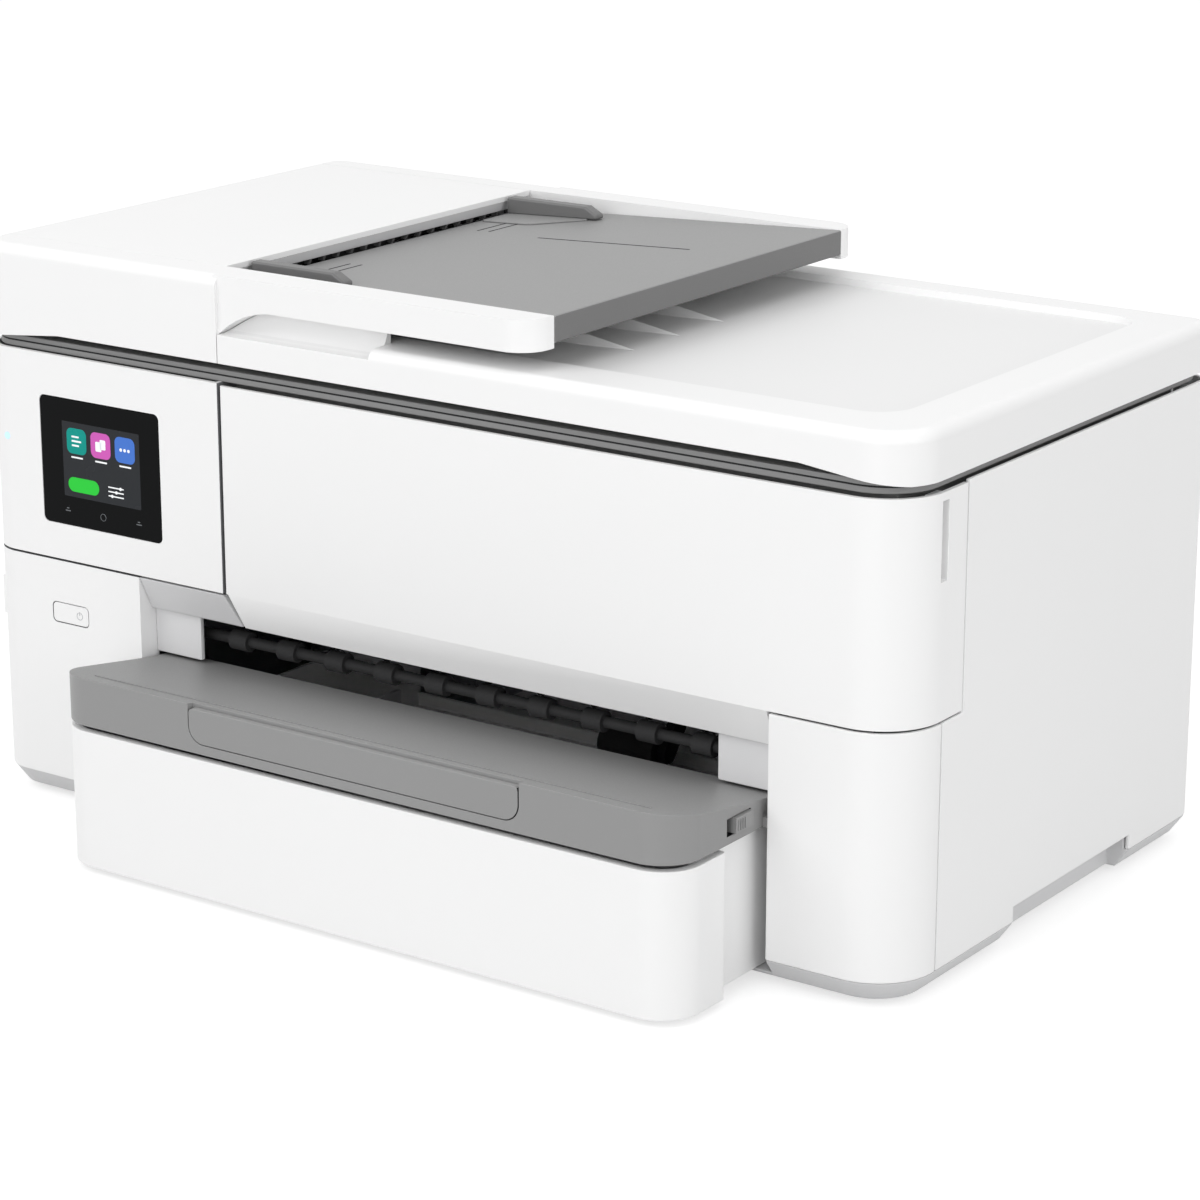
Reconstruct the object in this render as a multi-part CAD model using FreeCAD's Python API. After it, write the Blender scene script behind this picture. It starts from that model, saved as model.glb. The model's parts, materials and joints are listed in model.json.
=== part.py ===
import FreeCAD, Part
import math
import os

# Wide-format inkjet all-in-one, built as separate shells, trays and mechanisms.
# Millimetres. Origin at the bottom centre of the whole box, front towards -Y, +Z up.

# Overall sizes
WIDTH = 583.0
BODY_DEPTH = 310.0
TRAY_REACH = 73.0
BASE_TOP = 14.0
SEAM_Z = 140.5
BODY_TOP = 253.4
WALL = 2.5
SEAM = 0.6
MOVE_GAP = 1.2
TOUCH_CLEAR = 0.4
SHAFT_CLEAR = 0.05

# Casing
CORNER_RIGHT = 32.0
CORNER_LEFT = 22.0
CORNER_BACK = 12.0
SIDE_SEAM = 34.7
DOOR_WRAP = 53.3
PANEL_W = 171.5
BAY_W = 397.0
BAY_CENTRE = 18.5
BAY_WALL_DEPTH = 14.0
REAR_WRAP = 22.0
FOOT_H = 3.0
FOOT_R = 9.0
FOOT_INSET = 45.0
BASE_INSET = 8.0
BASE_FLOOR = 2.5
BASE_RAIL = 20.0
NOTCH_START = 112.0
NOTCH_LEN = 124.0
NOTCH_TOP = 22.0
NOTCH_DEPTH = 13.0

# Control panel and power button
GLASS_W = 84.5
GLASS_H = 70.0
GLASS_SET = 86.8
GLASS_CZ = 195.6
GLASS_T = 2.0
GLASS_R = 3.5
DISPLAY_W = 60.0
DISPLAY_H = 46.0
DISPLAY_T = 4.0
PANEL_RETURN = 32.0
LIGHT_R = 2.0
LIGHT_L = 6.0
LIGHT_SET = 19.5
LIGHT_Z = 204.0
BUTTON_W = 25.5
BUTTON_H = 10.9
BUTTON_R = 2.5
BUTTON_SET = 60.7
BUTTON_Z = 109.8
BUTTON_TRAVEL = 1.2
BUTTON_LEN = 7.0

# Front door
LIP_DROP = 20.0
LIP_SET_BACK = 9.0
LIP_T = 2.2
LIP_TOP_IN = 2.0
HINGE_X_IN = 4.5
HINGE_Y_IN = 4.0
HINGE_PIN_R = 1.2
HINGE_WALL = 1.3
HINGE_ARM_W = 3.0
HINGE_ARM_Y = 14.0
DOOR_EDGE_R = 2.0
HINGE_BLOCK = 8.0
HINGE_BLOCK_H = 12.0
GRIP_START = 30.0
GRIP_W = 6.0
GRIP_Z0 = 209.0
GRIP_H = 39.0
GRIP_DEPTH = 6.0

# Paper exit
EXIT_W = 329.0
EXIT_CENTRE = 16.5
EXIT_SET_BACK = 12.0
EXIT_T = 3.0
EXIT_BOTTOM = 95.5
EXIT_BEAM_H = 16.0
EXIT_AXIS_Y = 27.0
EXIT_AXIS_Z = 106.0
EXIT_SHAFT_R = 3.0
EXIT_ROLLER_R = 5.5
EXIT_ROLLER_W = 12.0
EXIT_ROLLERS = 10
STAR_R = 5.0
STAR_T = 1.2
STAR_BAR_H = 6.0
STAR_BAR_UP = 1.5
STAR_GAP = 1.0

# Output tray
TRAY_SIDE_GAP = 3.5
TRAY_BOTTOM = 81.0
TRAY_LIP = 107.0
TRAY_MID = 95.5
TRAY_INNER = 93.0
TRAY_INNER_DEPTH = 22.0
TRAY_SKIN = 2.5
TRAY_CORNER = 22.0
EXT_W = 206.6
EXT_CENTRE = 20.3
EXT_BOTTOM = 86.5
EXT_TOP = 104.5
EXT_FRONT_T = 4.0
EXT_PLATE_T = 2.5
EXT_LEN = 82.0
EXT_CORNER = 9.0
LATCH_SET = 49.0
LATCH_LEN = 15.0
LATCH_SLOT = 5.0
LATCH_H = 8.0
LATCH_Z = 89.5
LATCH_DEEP = 6.0
LATCH_PROUD = 2.0

# Paper cassette
CASS_BOTTOM = 3.0
CASS_TOP = 78.0
CASS_FRONT_T = 5.0
CASS_SIDE_INSET = 5.0
CASS_WALL = 2.5
CASS_TUB_TOP = 60.0
CASS_TUB_END = 228.0
CASS_REAR_H = 10.0
CASS_LIFT = 0.6
GUIDE_PAPER_W = 297.0
GUIDE_T = 3.0
GUIDE_H = 34.0
GUIDE_LEN = 120.0
GUIDE_START = 40.0
GUIDE_FOOT = 30.0
STOP_W = 60.0
STOP_FOOT = 40.0
STOP_SET = 30.0

# Chassis and print mechanism
CHASSIS_INSET = 29.5
CHASSIS_T = 2.0
CHASSIS_FRONT = 22.0
CHASSIS_REAR = 238.0
CHASSIS_BEAM_Z = 84.0
RAIL_Y = 158.0
RAIL_Z = 170.0
RAIL_R = 5.0
CARRIAGE_W = 112.0
CARRIAGE_X = 85.0
CARRIAGE_FRONT = 108.0
CARRIAGE_D = 66.0
CARRIAGE_Z0 = 152.0
CARRIAGE_H = 56.0
CARTRIDGE_COUNT = 4
CARTRIDGE_W = 22.0
CARTRIDGE_D = 34.0
CARTRIDGE_H = 52.0
CARTRIDGE_PITCH = 26.0
POCKET_FLOOR = 5.0
HEAD_W = 84.0
HEAD_D = 30.0
HEAD_H = 7.0
PULLEY_R = 8.0
PULLEY_W = 7.0
PULLEY_INSET = 26.0
BELT_T = 1.4
BELT_W = 6.0
BELT_Y = 192.0
BELT_Z = 190.0
BELT_CLEAR = 0.35
MOTOR_R = 17.0
MOTOR_SHAFT_R = 2.0
PLATEN_D = 46.0
PLATEN_H = 8.0
PLATEN_GAP = 3.0
FEED_Y = 176.0
FEED_Z = 131.0
FEED_R = 9.0
FEED_SHAFT_R = 4.0
FEED_END_GAP = 6.0
FEED_PULLEY_W = 6.0
FEED_MOTOR_Y = 120.0
FEED_MOTOR_Z = 70.0
SERVICE_W = 92.0
PICK_X = 18.5
PICK_PIVOT_Y = 222.0
PICK_PIVOT_Z = 92.0
PICK_Y = 178.0
PICK_Z = 34.0
PICK_R = 11.0
PICK_W = 36.0
PICK_ARM_T = 5.0

# Electronics and rear
BOARD_T = 1.6
BOARD_Y0 = 70.0
BOARD_LEN = 150.0
BOARD_Z0 = 40.0
BOARD_H = 120.0
BOSS_R = 4.0
SUPPLY_W = 110.0
SUPPLY_D = 46.0
SUPPLY_H = 44.0
SUPPLY_X = -195.0
INLET_W = 28.0
INLET_H = 20.0
INLET_D = 18.0
INLET_Z = 60.0
INLET_PIN_W = 2.5
INLET_PIN_H = 4.0
PORT_W = 44.0
PORT_H = 18.0
PORT_D = 16.0
PORT_X = 200.0
PORT_Z = 90.0
REAR_DOOR_W = 300.0
REAR_DOOR_H = 74.0
REAR_DOOR_Z = 110.0
REAR_PIN_R = 1.2
REAR_EAR = 8.0

# Scanner
SCAN_INSET = 4.0
SCAN_TUB_INSET = 16.0
SCAN_TUB_BOTTOM = 226.0
SCAN_TOP = 260.0
SCAN_FLOOR = 2.5
BED_GLASS_W = 370.0
BED_GLASS_D = 236.0
BED_GLASS_CX = 45.0
BED_GLASS_T = 3.0
BED_LEDGE = 6.0
SCAN_RAIL_R = 4.0
SCAN_RAIL_Z = 235.0
SCAN_HEAD_W = 42.0
SCAN_HEAD_D = 226.0
SCAN_HEAD_H = 13.0
SCAN_HEAD_X = -200.0
SCAN_BLOCK_W = 30.0

# Lid and document feeder
LID_FRONT_Z = 264.0
LID_SIDE_Z = 258.2
LID_DECK = 284.0
LID_RECESS = 4.0
LID_WALL = 3.0
LID_CORNER = 28.0
LID_EDGE = 6.0
LID_RUN_OUT = 60.0
LID_REAR_Z = 266.0
LID_HINGE_IN = 5.0
LID_HINGE_Z = 268.0
LID_PIN_R = 3.0
LID_EAR_W = 14.0
LID_EAR_X = 190.0
DECK_SIDE_RIM = 29.0
DECK_FRONT_RIM = 32.0
DECK_REAR_RIM = 23.0
DECK_CORNER = 20.0
PAD_T = 2.0
FEEDER_TOP = 309.7
ARM_LEN = 197.0
ARM_FRONT_D = 20.5
ARM_START = 2.0
ARM_REAR_D = 19.0
ARM_BOTTOM = 293.5
ARM_END_R = 16.0
SCOOP_START_Z = 279.0
SCOOP_RUN = 33.0
SCOOP_LEN = 99.0
SCOOP_EDGE = 1.0
SCOOP_DEEP = 16.0
SCOOP_BULGE = 0.22
COVE_BULGE = 0.45
COVER_SHORT = 12.0
COVER_T = 3.0
COVER_HINGE_IN = 5.0
COVER_HINGE_DROP = 7.7
COVER_SKIRT = 12.7
COVER_WALL_DROP = 15.2
COVER_PIN_R = 1.5
FEED_TRAY_PAST = 0.5
FEED_TRAY_END_Z = 296.0
FEED_TRAY_LOW_TOP = 299.5
FEED_TRAY_SKIN = 3.0
FEED_GUIDE_SET = 2.0
FEED_GUIDE_LEN = 62.0
FEED_GUIDE_T = 8.0
FEED_GUIDE_PAPER = 216.0
FEED_PICK_R = 9.0
FEED_PICK_SET = 28.0
FEED_PICK_Z = 293.0
FEED_PICK_W = 60.0

# Places worked out from the sizes above
X_R = WIDTH / 2
X_L = -WIDTH / 2
Y_BACK = (BODY_DEPTH + TRAY_REACH) / 2
Y_TRAY = -Y_BACK
Y_FRONT = Y_TRAY + TRAY_REACH
BAY_L = BAY_CENTRE - BAY_W / 2
BAY_R = BAY_CENTRE + BAY_W / 2
DOOR_L = X_L + PANEL_W
TRAY_W = BAY_W - 2 * TRAY_SIDE_GAP
GLASS_CX = X_L + GLASS_SET
LIGHT_X = X_L + LIGHT_SET
BUTTON_X = X_L + BUTTON_SET
CHASSIS_HALF = X_R - CHASSIS_INSET
LID_SPLIT_X = DOOR_L
ARM_END_X = LID_SPLIT_X + ARM_LEN
COVER_RIGHT_X = LID_SPLIT_X - COVER_SHORT
FEED_TRAY_END = ARM_END_X + FEED_TRAY_PAST
FEED_GUIDE_X0 = COVER_RIGHT_X + FEED_GUIDE_SET
FEED_PICK_X = COVER_RIGHT_X - FEED_PICK_SET
TRAY_L = BAY_CENTRE - TRAY_W / 2
TRAY_R = BAY_CENTRE + TRAY_W / 2
FLOOR_TOP = FOOT_H + BASE_FLOOR
CHASSIS_TOP = SCAN_TUB_BOTTOM
REAR_PLATE_Y = Y_FRONT + CHASSIS_REAR
SHAFT_END = CHASSIS_HALF + CHASSIS_T
HINGE_X = DOOR_L + HINGE_X_IN
HINGE_Y = Y_FRONT + HINGE_Y_IN
HINGE_LOW_Z = SEAM_Z + HINGE_BLOCK_H
HINGE_HIGH_Z = SCAN_TUB_BOTTOM - HINGE_BLOCK_H
LIP_START = HINGE_X + MOVE_GAP

os.makedirs("parts", exist_ok=True)


def save(name, shape):
    shape.exportStep(os.path.join("parts", name + ".step"))


def vec(x, y, z):
    return FreeCAD.Vector(x, y, z)


def box(x0, x1, y0, y1, z0, z1):
    return Part.makeBox(x1 - x0, y1 - y0, z1 - z0, vec(x0, y0, z0))


def rod_x(x0, x1, y, z, r):
    return Part.makeCylinder(r, x1 - x0, vec(x0, y, z), vec(1, 0, 0))


def rod_y(y0, y1, x, z, r):
    return Part.makeCylinder(r, y1 - y0, vec(x, y0, z), vec(0, 1, 0))


def rod_z(z0, z1, x, y, r):
    return Part.makeCylinder(r, z1 - z0, vec(x, y, z0), vec(0, 0, 1))


def behind(depth):
    """Y of a point that lies this far behind the front of the body."""
    return Y_FRONT + depth


def corner_arc(cx, cy, r, start, lift):
    """Quarter circle about a point, in plan or in a front view."""
    spots = []
    for step in range(3):
        angle = math.radians(start + 45 * step)
        spots.append(lift(cx + r * math.cos(angle), cy + r * math.sin(angle)))
    return Part.Arc(*spots).toShape(), spots[0], spots[2]


def round_rect(u0, u1, v0, v1, radii, lift):
    """Wire of a rectangle whose corners, from low left round to high left, have these radii."""
    corners = [(u0, v0, 1, 1, 180), (u1, v0, -1, 1, 270), (u1, v1, -1, -1, 0), (u0, v1, 1, -1, 90)]
    turns = []
    for (u, v, su, sv, start), r in zip(corners, radii):
        if r > 0:
            turns.append(corner_arc(u + su * r, v + sv * r, r, start, lift))
        else:
            turns.append((None, lift(u, v), lift(u, v)))
    edges = []
    for index, (arc, first, last) in enumerate(turns):
        following = turns[(index + 1) % len(turns)][1]
        if arc:
            edges.append(arc)
        edges.append(Part.LineSegment(last, following).toShape())
    return Part.Wire(edges)


def plan_wire(x0, x1, y0, y1, radii, z):
    return round_rect(x0, x1, y0, y1, radii, lambda u, v: vec(u, v, z))


def plan_block(x0, x1, y0, y1, z0, z1, radii):
    wire = plan_wire(x0, x1, y0, y1, radii, z0)
    return Part.Face(wire).extrude(vec(0, 0, z1 - z0))


def front_block(x0, x1, z0, z1, y0, y1, radii):
    wire = round_rect(x0, x1, z0, z1, radii, lambda u, v: vec(u, y0, v))
    return Part.Face(wire).extrude(vec(0, y1 - y0, 0))


def side_prism(points, x0, x1):
    """Solid with a straight-sided outline in Y and Z, run along X."""
    corners = [vec(x0, y, z) for y, z in points]
    return Part.Face(Part.makePolygon(corners + corners[:1])).extrude(vec(x1 - x0, 0, 0))


def front_prism(points, y0, y1):
    """Solid with a straight-sided outline in X and Z, run along Y."""
    corners = [vec(x, y0, z) for x, z in points]
    return Part.Face(Part.makePolygon(corners + corners[:1])).extrude(vec(0, y1 - y0, 0))


def merge(first, *others):
    return first.fuse(list(others)).removeSplitter()


def body_ring(z0, z1):
    """The casing's outer wall all the way round, between two heights."""
    outer = [CORNER_LEFT, CORNER_RIGHT, CORNER_BACK, CORNER_BACK]
    inner = [r - WALL for r in outer]
    hull = plan_block(X_L, X_R, Y_FRONT, Y_BACK, z0, z1, outer)
    hollow = plan_block(X_L + WALL, X_R - WALL, Y_FRONT + WALL, Y_BACK - WALL, z0, z1, inner)
    return hull.cut(hollow)


def grip_notch(side):
    """Space of a hand grip in the bottom of one side, side being -1 or 1."""
    x_in = side * (X_R - NOTCH_DEPTH)
    x_out = side * (X_R + WALL)
    low, high = sorted((x_in, x_out))
    return box(low, high, behind(NOTCH_START), behind(NOTCH_START + NOTCH_LEN), 0, NOTCH_TOP)


def grip_pocket(side):
    """Block round a hand grip, which closes it above and at its ends."""
    x_in = side * (X_R - NOTCH_DEPTH - WALL)
    x_out = side * (X_R - WALL - SEAM)
    low, high = sorted((x_in, x_out))
    return box(low, high, behind(NOTCH_START) - WALL, behind(NOTCH_START + NOTCH_LEN) + WALL,
               BASE_TOP - WALL, NOTCH_TOP + WALL)


def build_base():
    radii = [CORNER_LEFT, CORNER_RIGHT, CORNER_BACK, CORNER_BACK]
    low_radii = [r - BASE_INSET for r in radii]
    low = plan_wire(X_L + BASE_INSET, X_R - BASE_INSET, Y_FRONT + BASE_INSET, Y_BACK - BASE_INSET,
                    low_radii, FOOT_H)
    high = plan_wire(X_L, X_R, Y_FRONT, Y_BACK, radii, BASE_TOP)
    pan = Part.makeLoft([low, high], True, True)
    pan = pan.cut(box(X_L + BASE_RAIL, X_R - BASE_RAIL, behind(BASE_RAIL), Y_BACK - BASE_RAIL,
                      FLOOR_TOP, BASE_TOP))
    pan = pan.cut(box(BAY_L, BAY_R, Y_FRONT, behind(BASE_RAIL), FLOOR_TOP, BASE_TOP))
    for side in (-1, 1):
        pan = merge(pan, grip_pocket(side)).cut(grip_notch(side))
    save("base_pan", pan)
    feet = []
    for x in (X_L + FOOT_INSET, X_R - FOOT_INSET):
        for y in (Y_FRONT + FOOT_INSET, Y_BACK - FOOT_INSET):
            feet.append(rod_z(0, FOOT_H, x, y, FOOT_R))
    save("feet", Part.makeCompound(feet))


def build_housings():
    top = SEAM_Z - MOVE_GAP
    ring = body_ring(BASE_TOP, top)
    reach = behind(SIDE_SEAM)
    left = ring.common(box(X_L, BAY_L, Y_FRONT, reach, BASE_TOP, top))
    left = merge(left, box(BAY_L - WALL, BAY_L, Y_FRONT, behind(BAY_WALL_DEPTH), BASE_TOP, top))
    half_w = BUTTON_W / 2 + TOUCH_CLEAR
    half_h = BUTTON_H / 2 + TOUCH_CLEAR
    hole_r = BUTTON_R + TOUCH_CLEAR
    left = left.cut(front_block(BUTTON_X - half_w, BUTTON_X + half_w, BUTTON_Z - half_h,
                                BUTTON_Z + half_h, Y_FRONT - WALL, Y_FRONT + 2 * WALL, [hole_r] * 4))
    shelf_y = Y_FRONT + BUTTON_LEN + BUTTON_TRAVEL + TOUCH_CLEAR
    shelf_z = BUTTON_Z - BUTTON_H
    shelf = box(X_L + WALL, BAY_L - WALL, shelf_y, shelf_y + WALL, shelf_z, BUTTON_Z + BUTTON_H)
    ledge = box(BAY_L - 2 * WALL, BAY_L, Y_FRONT + WALL, shelf_y + WALL, shelf_z, BUTTON_Z + BUTTON_H)
    save("left_housing", merge(left, shelf, ledge))
    right = ring.common(box(BAY_R, X_R, Y_FRONT, reach, BASE_TOP, top))
    save("right_housing", merge(right, box(BAY_R, BAY_R + WALL, Y_FRONT, behind(BAY_WALL_DEPTH),
                                           BASE_TOP, top)))


def build_power_button():
    half_w = BUTTON_W / 2
    half_h = BUTTON_H / 2
    key = front_block(BUTTON_X - half_w, BUTTON_X + half_w, BUTTON_Z - half_h, BUTTON_Z + half_h,
                      Y_FRONT, Y_FRONT + BUTTON_LEN, [BUTTON_R] * 4)
    save("power_button", key)


def build_side_panels():
    ring = body_ring(BASE_TOP, BODY_TOP)
    low_y = behind(SIDE_SEAM) + SEAM
    high_y = behind(DOOR_WRAP) + MOVE_GAP
    for name, side in (("left_side_panel", -1), ("right_side_panel", 1)):
        x0, x1 = sorted((side * (X_R - REAR_WRAP), side * X_R))
        panel = ring.common(box(x0, x1, low_y, Y_BACK, BASE_TOP, BODY_TOP))
        panel = panel.cut(box(x0, x1, low_y, high_y, SEAM_Z - MOVE_GAP, BODY_TOP))
        save(name, panel.cut(grip_notch(side)))


def build_rear():
    half = REAR_DOOR_W / 2
    x_in = X_R - REAR_WRAP - SEAM
    y_pin = Y_BACK - WALL
    z0 = REAR_DOOR_Z + MOVE_GAP
    z_pin = z0 + WALL
    panel = body_ring(BASE_TOP, BODY_TOP).common(box(-x_in, x_in, 0, Y_BACK, BASE_TOP, BODY_TOP))
    panel = panel.cut(box(-half, half, 0, Y_BACK, REAR_DOOR_Z, REAR_DOOR_Z + REAR_DOOR_H))
    panel = panel.cut(box(SUPPLY_X - INLET_W / 2, SUPPLY_X + INLET_W / 2, 0, Y_BACK,
                          INLET_Z - INLET_H / 2, INLET_Z + INLET_H / 2))
    panel = panel.cut(box(PORT_X - PORT_W / 2, PORT_X + PORT_W / 2, 0, Y_BACK,
                          PORT_Z - PORT_H / 2, PORT_Z + PORT_H / 2))
    for x0 in (-half - REAR_EAR, half):
        ear = box(x0, x0 + REAR_EAR, y_pin - REAR_EAR / 2, y_pin, z_pin - REAR_EAR / 2, z_pin + REAR_EAR / 2)
        panel = merge(panel, ear)
        panel = panel.cut(rod_x(x0, x0 + REAR_EAR, y_pin, z_pin, REAR_PIN_R + SHAFT_CLEAR))
    save("rear_panel", panel)
    edge = half - MOVE_GAP
    door = box(-edge, edge, y_pin, Y_BACK, z0, REAR_DOOR_Z + REAR_DOOR_H - MOVE_GAP)
    door = merge(door, rod_x(-half - REAR_EAR, half + REAR_EAR, y_pin, z_pin, REAR_PIN_R))
    save("rear_door", door)


def build_sockets():
    def socket(x, z, w, h, d, mouths):
        body = box(x - w / 2, x + w / 2, Y_BACK - d, Y_BACK - SEAM, z - h / 2, z + h / 2)
        pitch = w / mouths
        for index in range(mouths):
            cx = x - w / 2 + pitch * (index + 0.5)
            body = body.cut(box(cx - pitch / 2 + WALL, cx + pitch / 2 - WALL, Y_BACK - d + WALL, Y_BACK,
                                z - h / 2 + WALL, z + h / 2 - WALL))
        return body
    inlet = socket(SUPPLY_X, INLET_Z, INLET_W, INLET_H, INLET_D, 1)
    blades = []
    for step in (-1, 0, 1):
        x = SUPPLY_X + step * INLET_W / 4
        blades.append(box(x - INLET_PIN_W / 2, x + INLET_PIN_W / 2, Y_BACK - INLET_D + WALL, Y_BACK - WALL,
                          INLET_Z - INLET_PIN_H / 2, INLET_Z + INLET_PIN_H / 2))
    save("power_inlet", merge(inlet, *blades))
    save("port_block", socket(PORT_X, PORT_Z, PORT_W, PORT_H, PORT_D, 2))
    z0 = FLOOR_TOP
    y1 = Y_BACK - BASE_RAIL
    supply = box(SUPPLY_X - SUPPLY_W / 2, SUPPLY_X + SUPPLY_W / 2, y1 - SUPPLY_D, y1, z0, z0 + SUPPLY_H)
    neck = box(SUPPLY_X - INLET_W / 2, SUPPLY_X + INLET_W / 2, y1 - SUPPLY_D, Y_BACK - INLET_D,
               z0 + SUPPLY_H, INLET_Z + INLET_H / 2)
    save("power_supply", merge(supply, neck))


def build_control_panel():
    edge = DOOR_L - MOVE_GAP
    reach = behind(DOOR_WRAP)
    z0 = SEAM_Z
    panel = body_ring(z0, BODY_TOP).common(box(X_L, edge, Y_FRONT, reach, z0, BODY_TOP))
    below = SCAN_TUB_BOTTOM - SEAM
    side = merge(box(edge - WALL, edge, Y_FRONT, behind(PANEL_RETURN), z0, below),
                 box(edge - WALL, edge, Y_FRONT, behind(SCAN_TUB_INSET - SEAM), below, BODY_TOP))
    back_y = Y_FRONT + GLASS_T + DISPLAY_T
    half_w = GLASS_W / 2
    half_h = GLASS_H / 2
    seat = box(GLASS_CX - half_w - WALL, GLASS_CX + half_w + WALL, Y_FRONT + WALL, back_y + WALL,
               GLASS_CZ - half_h - WALL, GLASS_CZ + half_h + WALL)
    panel = merge(panel, side, seat)
    w = half_w + TOUCH_CLEAR / 2
    h = half_h + TOUCH_CLEAR / 2
    panel = panel.cut(front_block(GLASS_CX - w, GLASS_CX + w, GLASS_CZ - h, GLASS_CZ + h,
                                  Y_FRONT - WALL, Y_FRONT + GLASS_T, [GLASS_R] * 4))
    panel = panel.cut(box(GLASS_CX - DISPLAY_W / 2, GLASS_CX + DISPLAY_W / 2, Y_FRONT, back_y,
                          GLASS_CZ - DISPLAY_H / 2, GLASS_CZ + DISPLAY_H / 2))
    panel = panel.cut(rod_y(Y_FRONT - WALL, Y_FRONT + 2 * WALL, LIGHT_X, LIGHT_Z, LIGHT_R + SHAFT_CLEAR))
    for z in (HINGE_LOW_Z, HINGE_HIGH_Z):
        low = z - HINGE_BLOCK / 2
        reach = box(HINGE_X, HINGE_X + HINGE_ARM_W, HINGE_Y, behind(PANEL_RETURN), low, z)
        cross = box(edge - WALL, HINGE_X + HINGE_ARM_W, behind(HINGE_ARM_Y), behind(PANEL_RETURN), low, z)
        pin = rod_z(low, z + HINGE_BLOCK, HINGE_X, HINGE_Y, HINGE_PIN_R)
        panel = merge(panel, reach, cross, pin)
    save("control_panel", panel)
    save("screen_glass", front_block(GLASS_CX - half_w, GLASS_CX + half_w, GLASS_CZ - half_h,
                                     GLASS_CZ + half_h, Y_FRONT, Y_FRONT + GLASS_T, [GLASS_R] * 4))
    save("display_module", box(GLASS_CX - DISPLAY_W / 2, GLASS_CX + DISPLAY_W / 2, Y_FRONT + GLASS_T,
                               back_y, GLASS_CZ - DISPLAY_H / 2, GLASS_CZ + DISPLAY_H / 2))
    save("status_light", rod_y(Y_FRONT, Y_FRONT + LIGHT_L, LIGHT_X, LIGHT_Z, LIGHT_R))


def build_front_door():
    top = BODY_TOP - MOVE_GAP
    skin = body_ring(SEAM_Z, top).common(plan_block(DOOR_L, X_R + CORNER_RIGHT, Y_FRONT, behind(DOOR_WRAP),
                                                    SEAM_Z, top, [DOOR_EDGE_R] * 4))
    lip_z = SEAM_Z - LIP_DROP
    lip = side_prism([(Y_FRONT, SEAM_Z), (behind(LIP_SET_BACK), lip_z), (behind(LIP_SET_BACK + LIP_T), lip_z),
                      (behind(WALL + LIP_T), SEAM_Z), (behind(WALL), SEAM_Z + LIP_T),
                      (Y_FRONT, SEAM_Z + LIP_T)],
                     DOOR_L + LIP_TOP_IN, BAY_R - MOVE_GAP)
    slant = [(DOOR_L, SEAM_Z), (DOOR_L + LIP_TOP_IN, SEAM_Z), (LIP_START, lip_z), (DOOR_L, lip_z)]
    lip = lip.cut(front_prism(slant, Y_FRONT, behind(LIP_SET_BACK + LIP_T)))
    grip_x = X_R - WALL - GRIP_DEPTH
    grip = box(grip_x, X_R - WALL / 2, behind(GRIP_START - WALL), behind(GRIP_START + GRIP_W + WALL),
               GRIP_Z0 - WALL, min(GRIP_Z0 + GRIP_H + WALL, top))
    door = merge(skin, lip, grip)
    door = door.cut(box(grip_x + WALL, X_R + WALL, behind(GRIP_START), behind(GRIP_START + GRIP_W),
                        GRIP_Z0, GRIP_Z0 + GRIP_H))
    wide = HINGE_PIN_R + HINGE_WALL
    for z in (HINGE_LOW_Z, HINGE_HIGH_Z):
        low = z + TOUCH_CLEAR
        block = box(HINGE_X - wide, HINGE_X + wide, Y_FRONT + WALL / 2, HINGE_Y, low, low + HINGE_BLOCK)
        knuckle = rod_z(low, low + HINGE_BLOCK, HINGE_X, HINGE_Y, wide)
        door = merge(door, block, knuckle)
        door = door.cut(rod_z(low, low + HINGE_BLOCK, HINGE_X, HINGE_Y, HINGE_PIN_R + SHAFT_CLEAR))
    save("front_door", door)


def build_exit():
    y0 = behind(EXIT_SET_BACK)
    y1 = y0 + EXIT_T
    top = SEAM_Z - MOVE_GAP
    slot_l = EXIT_CENTRE - EXIT_W / 2
    slot_r = EXIT_CENTRE + EXIT_W / 2
    beam_z = top - EXIT_BEAM_H
    bezel = merge(box(BAY_L, slot_l, y0, y1, EXIT_BOTTOM, top), box(slot_r, BAY_R, y0, y1, EXIT_BOTTOM, top),
                  box(slot_l, slot_r, y0, y1, beam_z, top))
    lip_end = LIP_START - MOVE_GAP
    corner = side_prism([(Y_FRONT, top), (behind(LIP_SET_BACK), SEAM_Z - LIP_DROP), (y0, SEAM_Z - LIP_DROP),
                         (y0, top)], BAY_L, lip_end)
    slant = [(DOOR_L - MOVE_GAP, top), (lip_end, SEAM_Z - LIP_DROP), (lip_end, top)]
    corner = corner.cut(front_prism(slant, Y_FRONT, y0))
    bezel = merge(bezel, corner)
    save("exit_bezel", bezel)
    axis_y = behind(EXIT_AXIS_Y)
    shaft = rod_x(-SHAFT_END - FEED_END_GAP - FEED_PULLEY_W, SHAFT_END, axis_y, EXIT_AXIS_Z, EXIT_SHAFT_R)
    pitch = EXIT_W / EXIT_ROLLERS
    wheels = []
    stars = []
    star_z = EXIT_AXIS_Z + EXIT_ROLLER_R + STAR_GAP + STAR_R
    for index in range(EXIT_ROLLERS):
        x = slot_l + pitch * (index + 0.5)
        wheels.append(rod_x(x - EXIT_ROLLER_W / 2, x + EXIT_ROLLER_W / 2, axis_y, EXIT_AXIS_Z, EXIT_ROLLER_R))
        stars.append(rod_x(x - STAR_T / 2, x + STAR_T / 2, axis_y, star_z, STAR_R))
    pulley_x = -SHAFT_END - FEED_END_GAP
    wheels.append(rod_x(pulley_x - FEED_PULLEY_W, pulley_x, axis_y, EXIT_AXIS_Z, PULLEY_R))
    save("exit_roller_shaft", merge(shaft, *wheels))
    bar_z = star_z + STAR_BAR_UP
    bar = box(slot_l, slot_r, y1, axis_y + STAR_R, bar_z, bar_z + STAR_BAR_H)
    save("star_wheel_bar", merge(bar, *stars))


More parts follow.
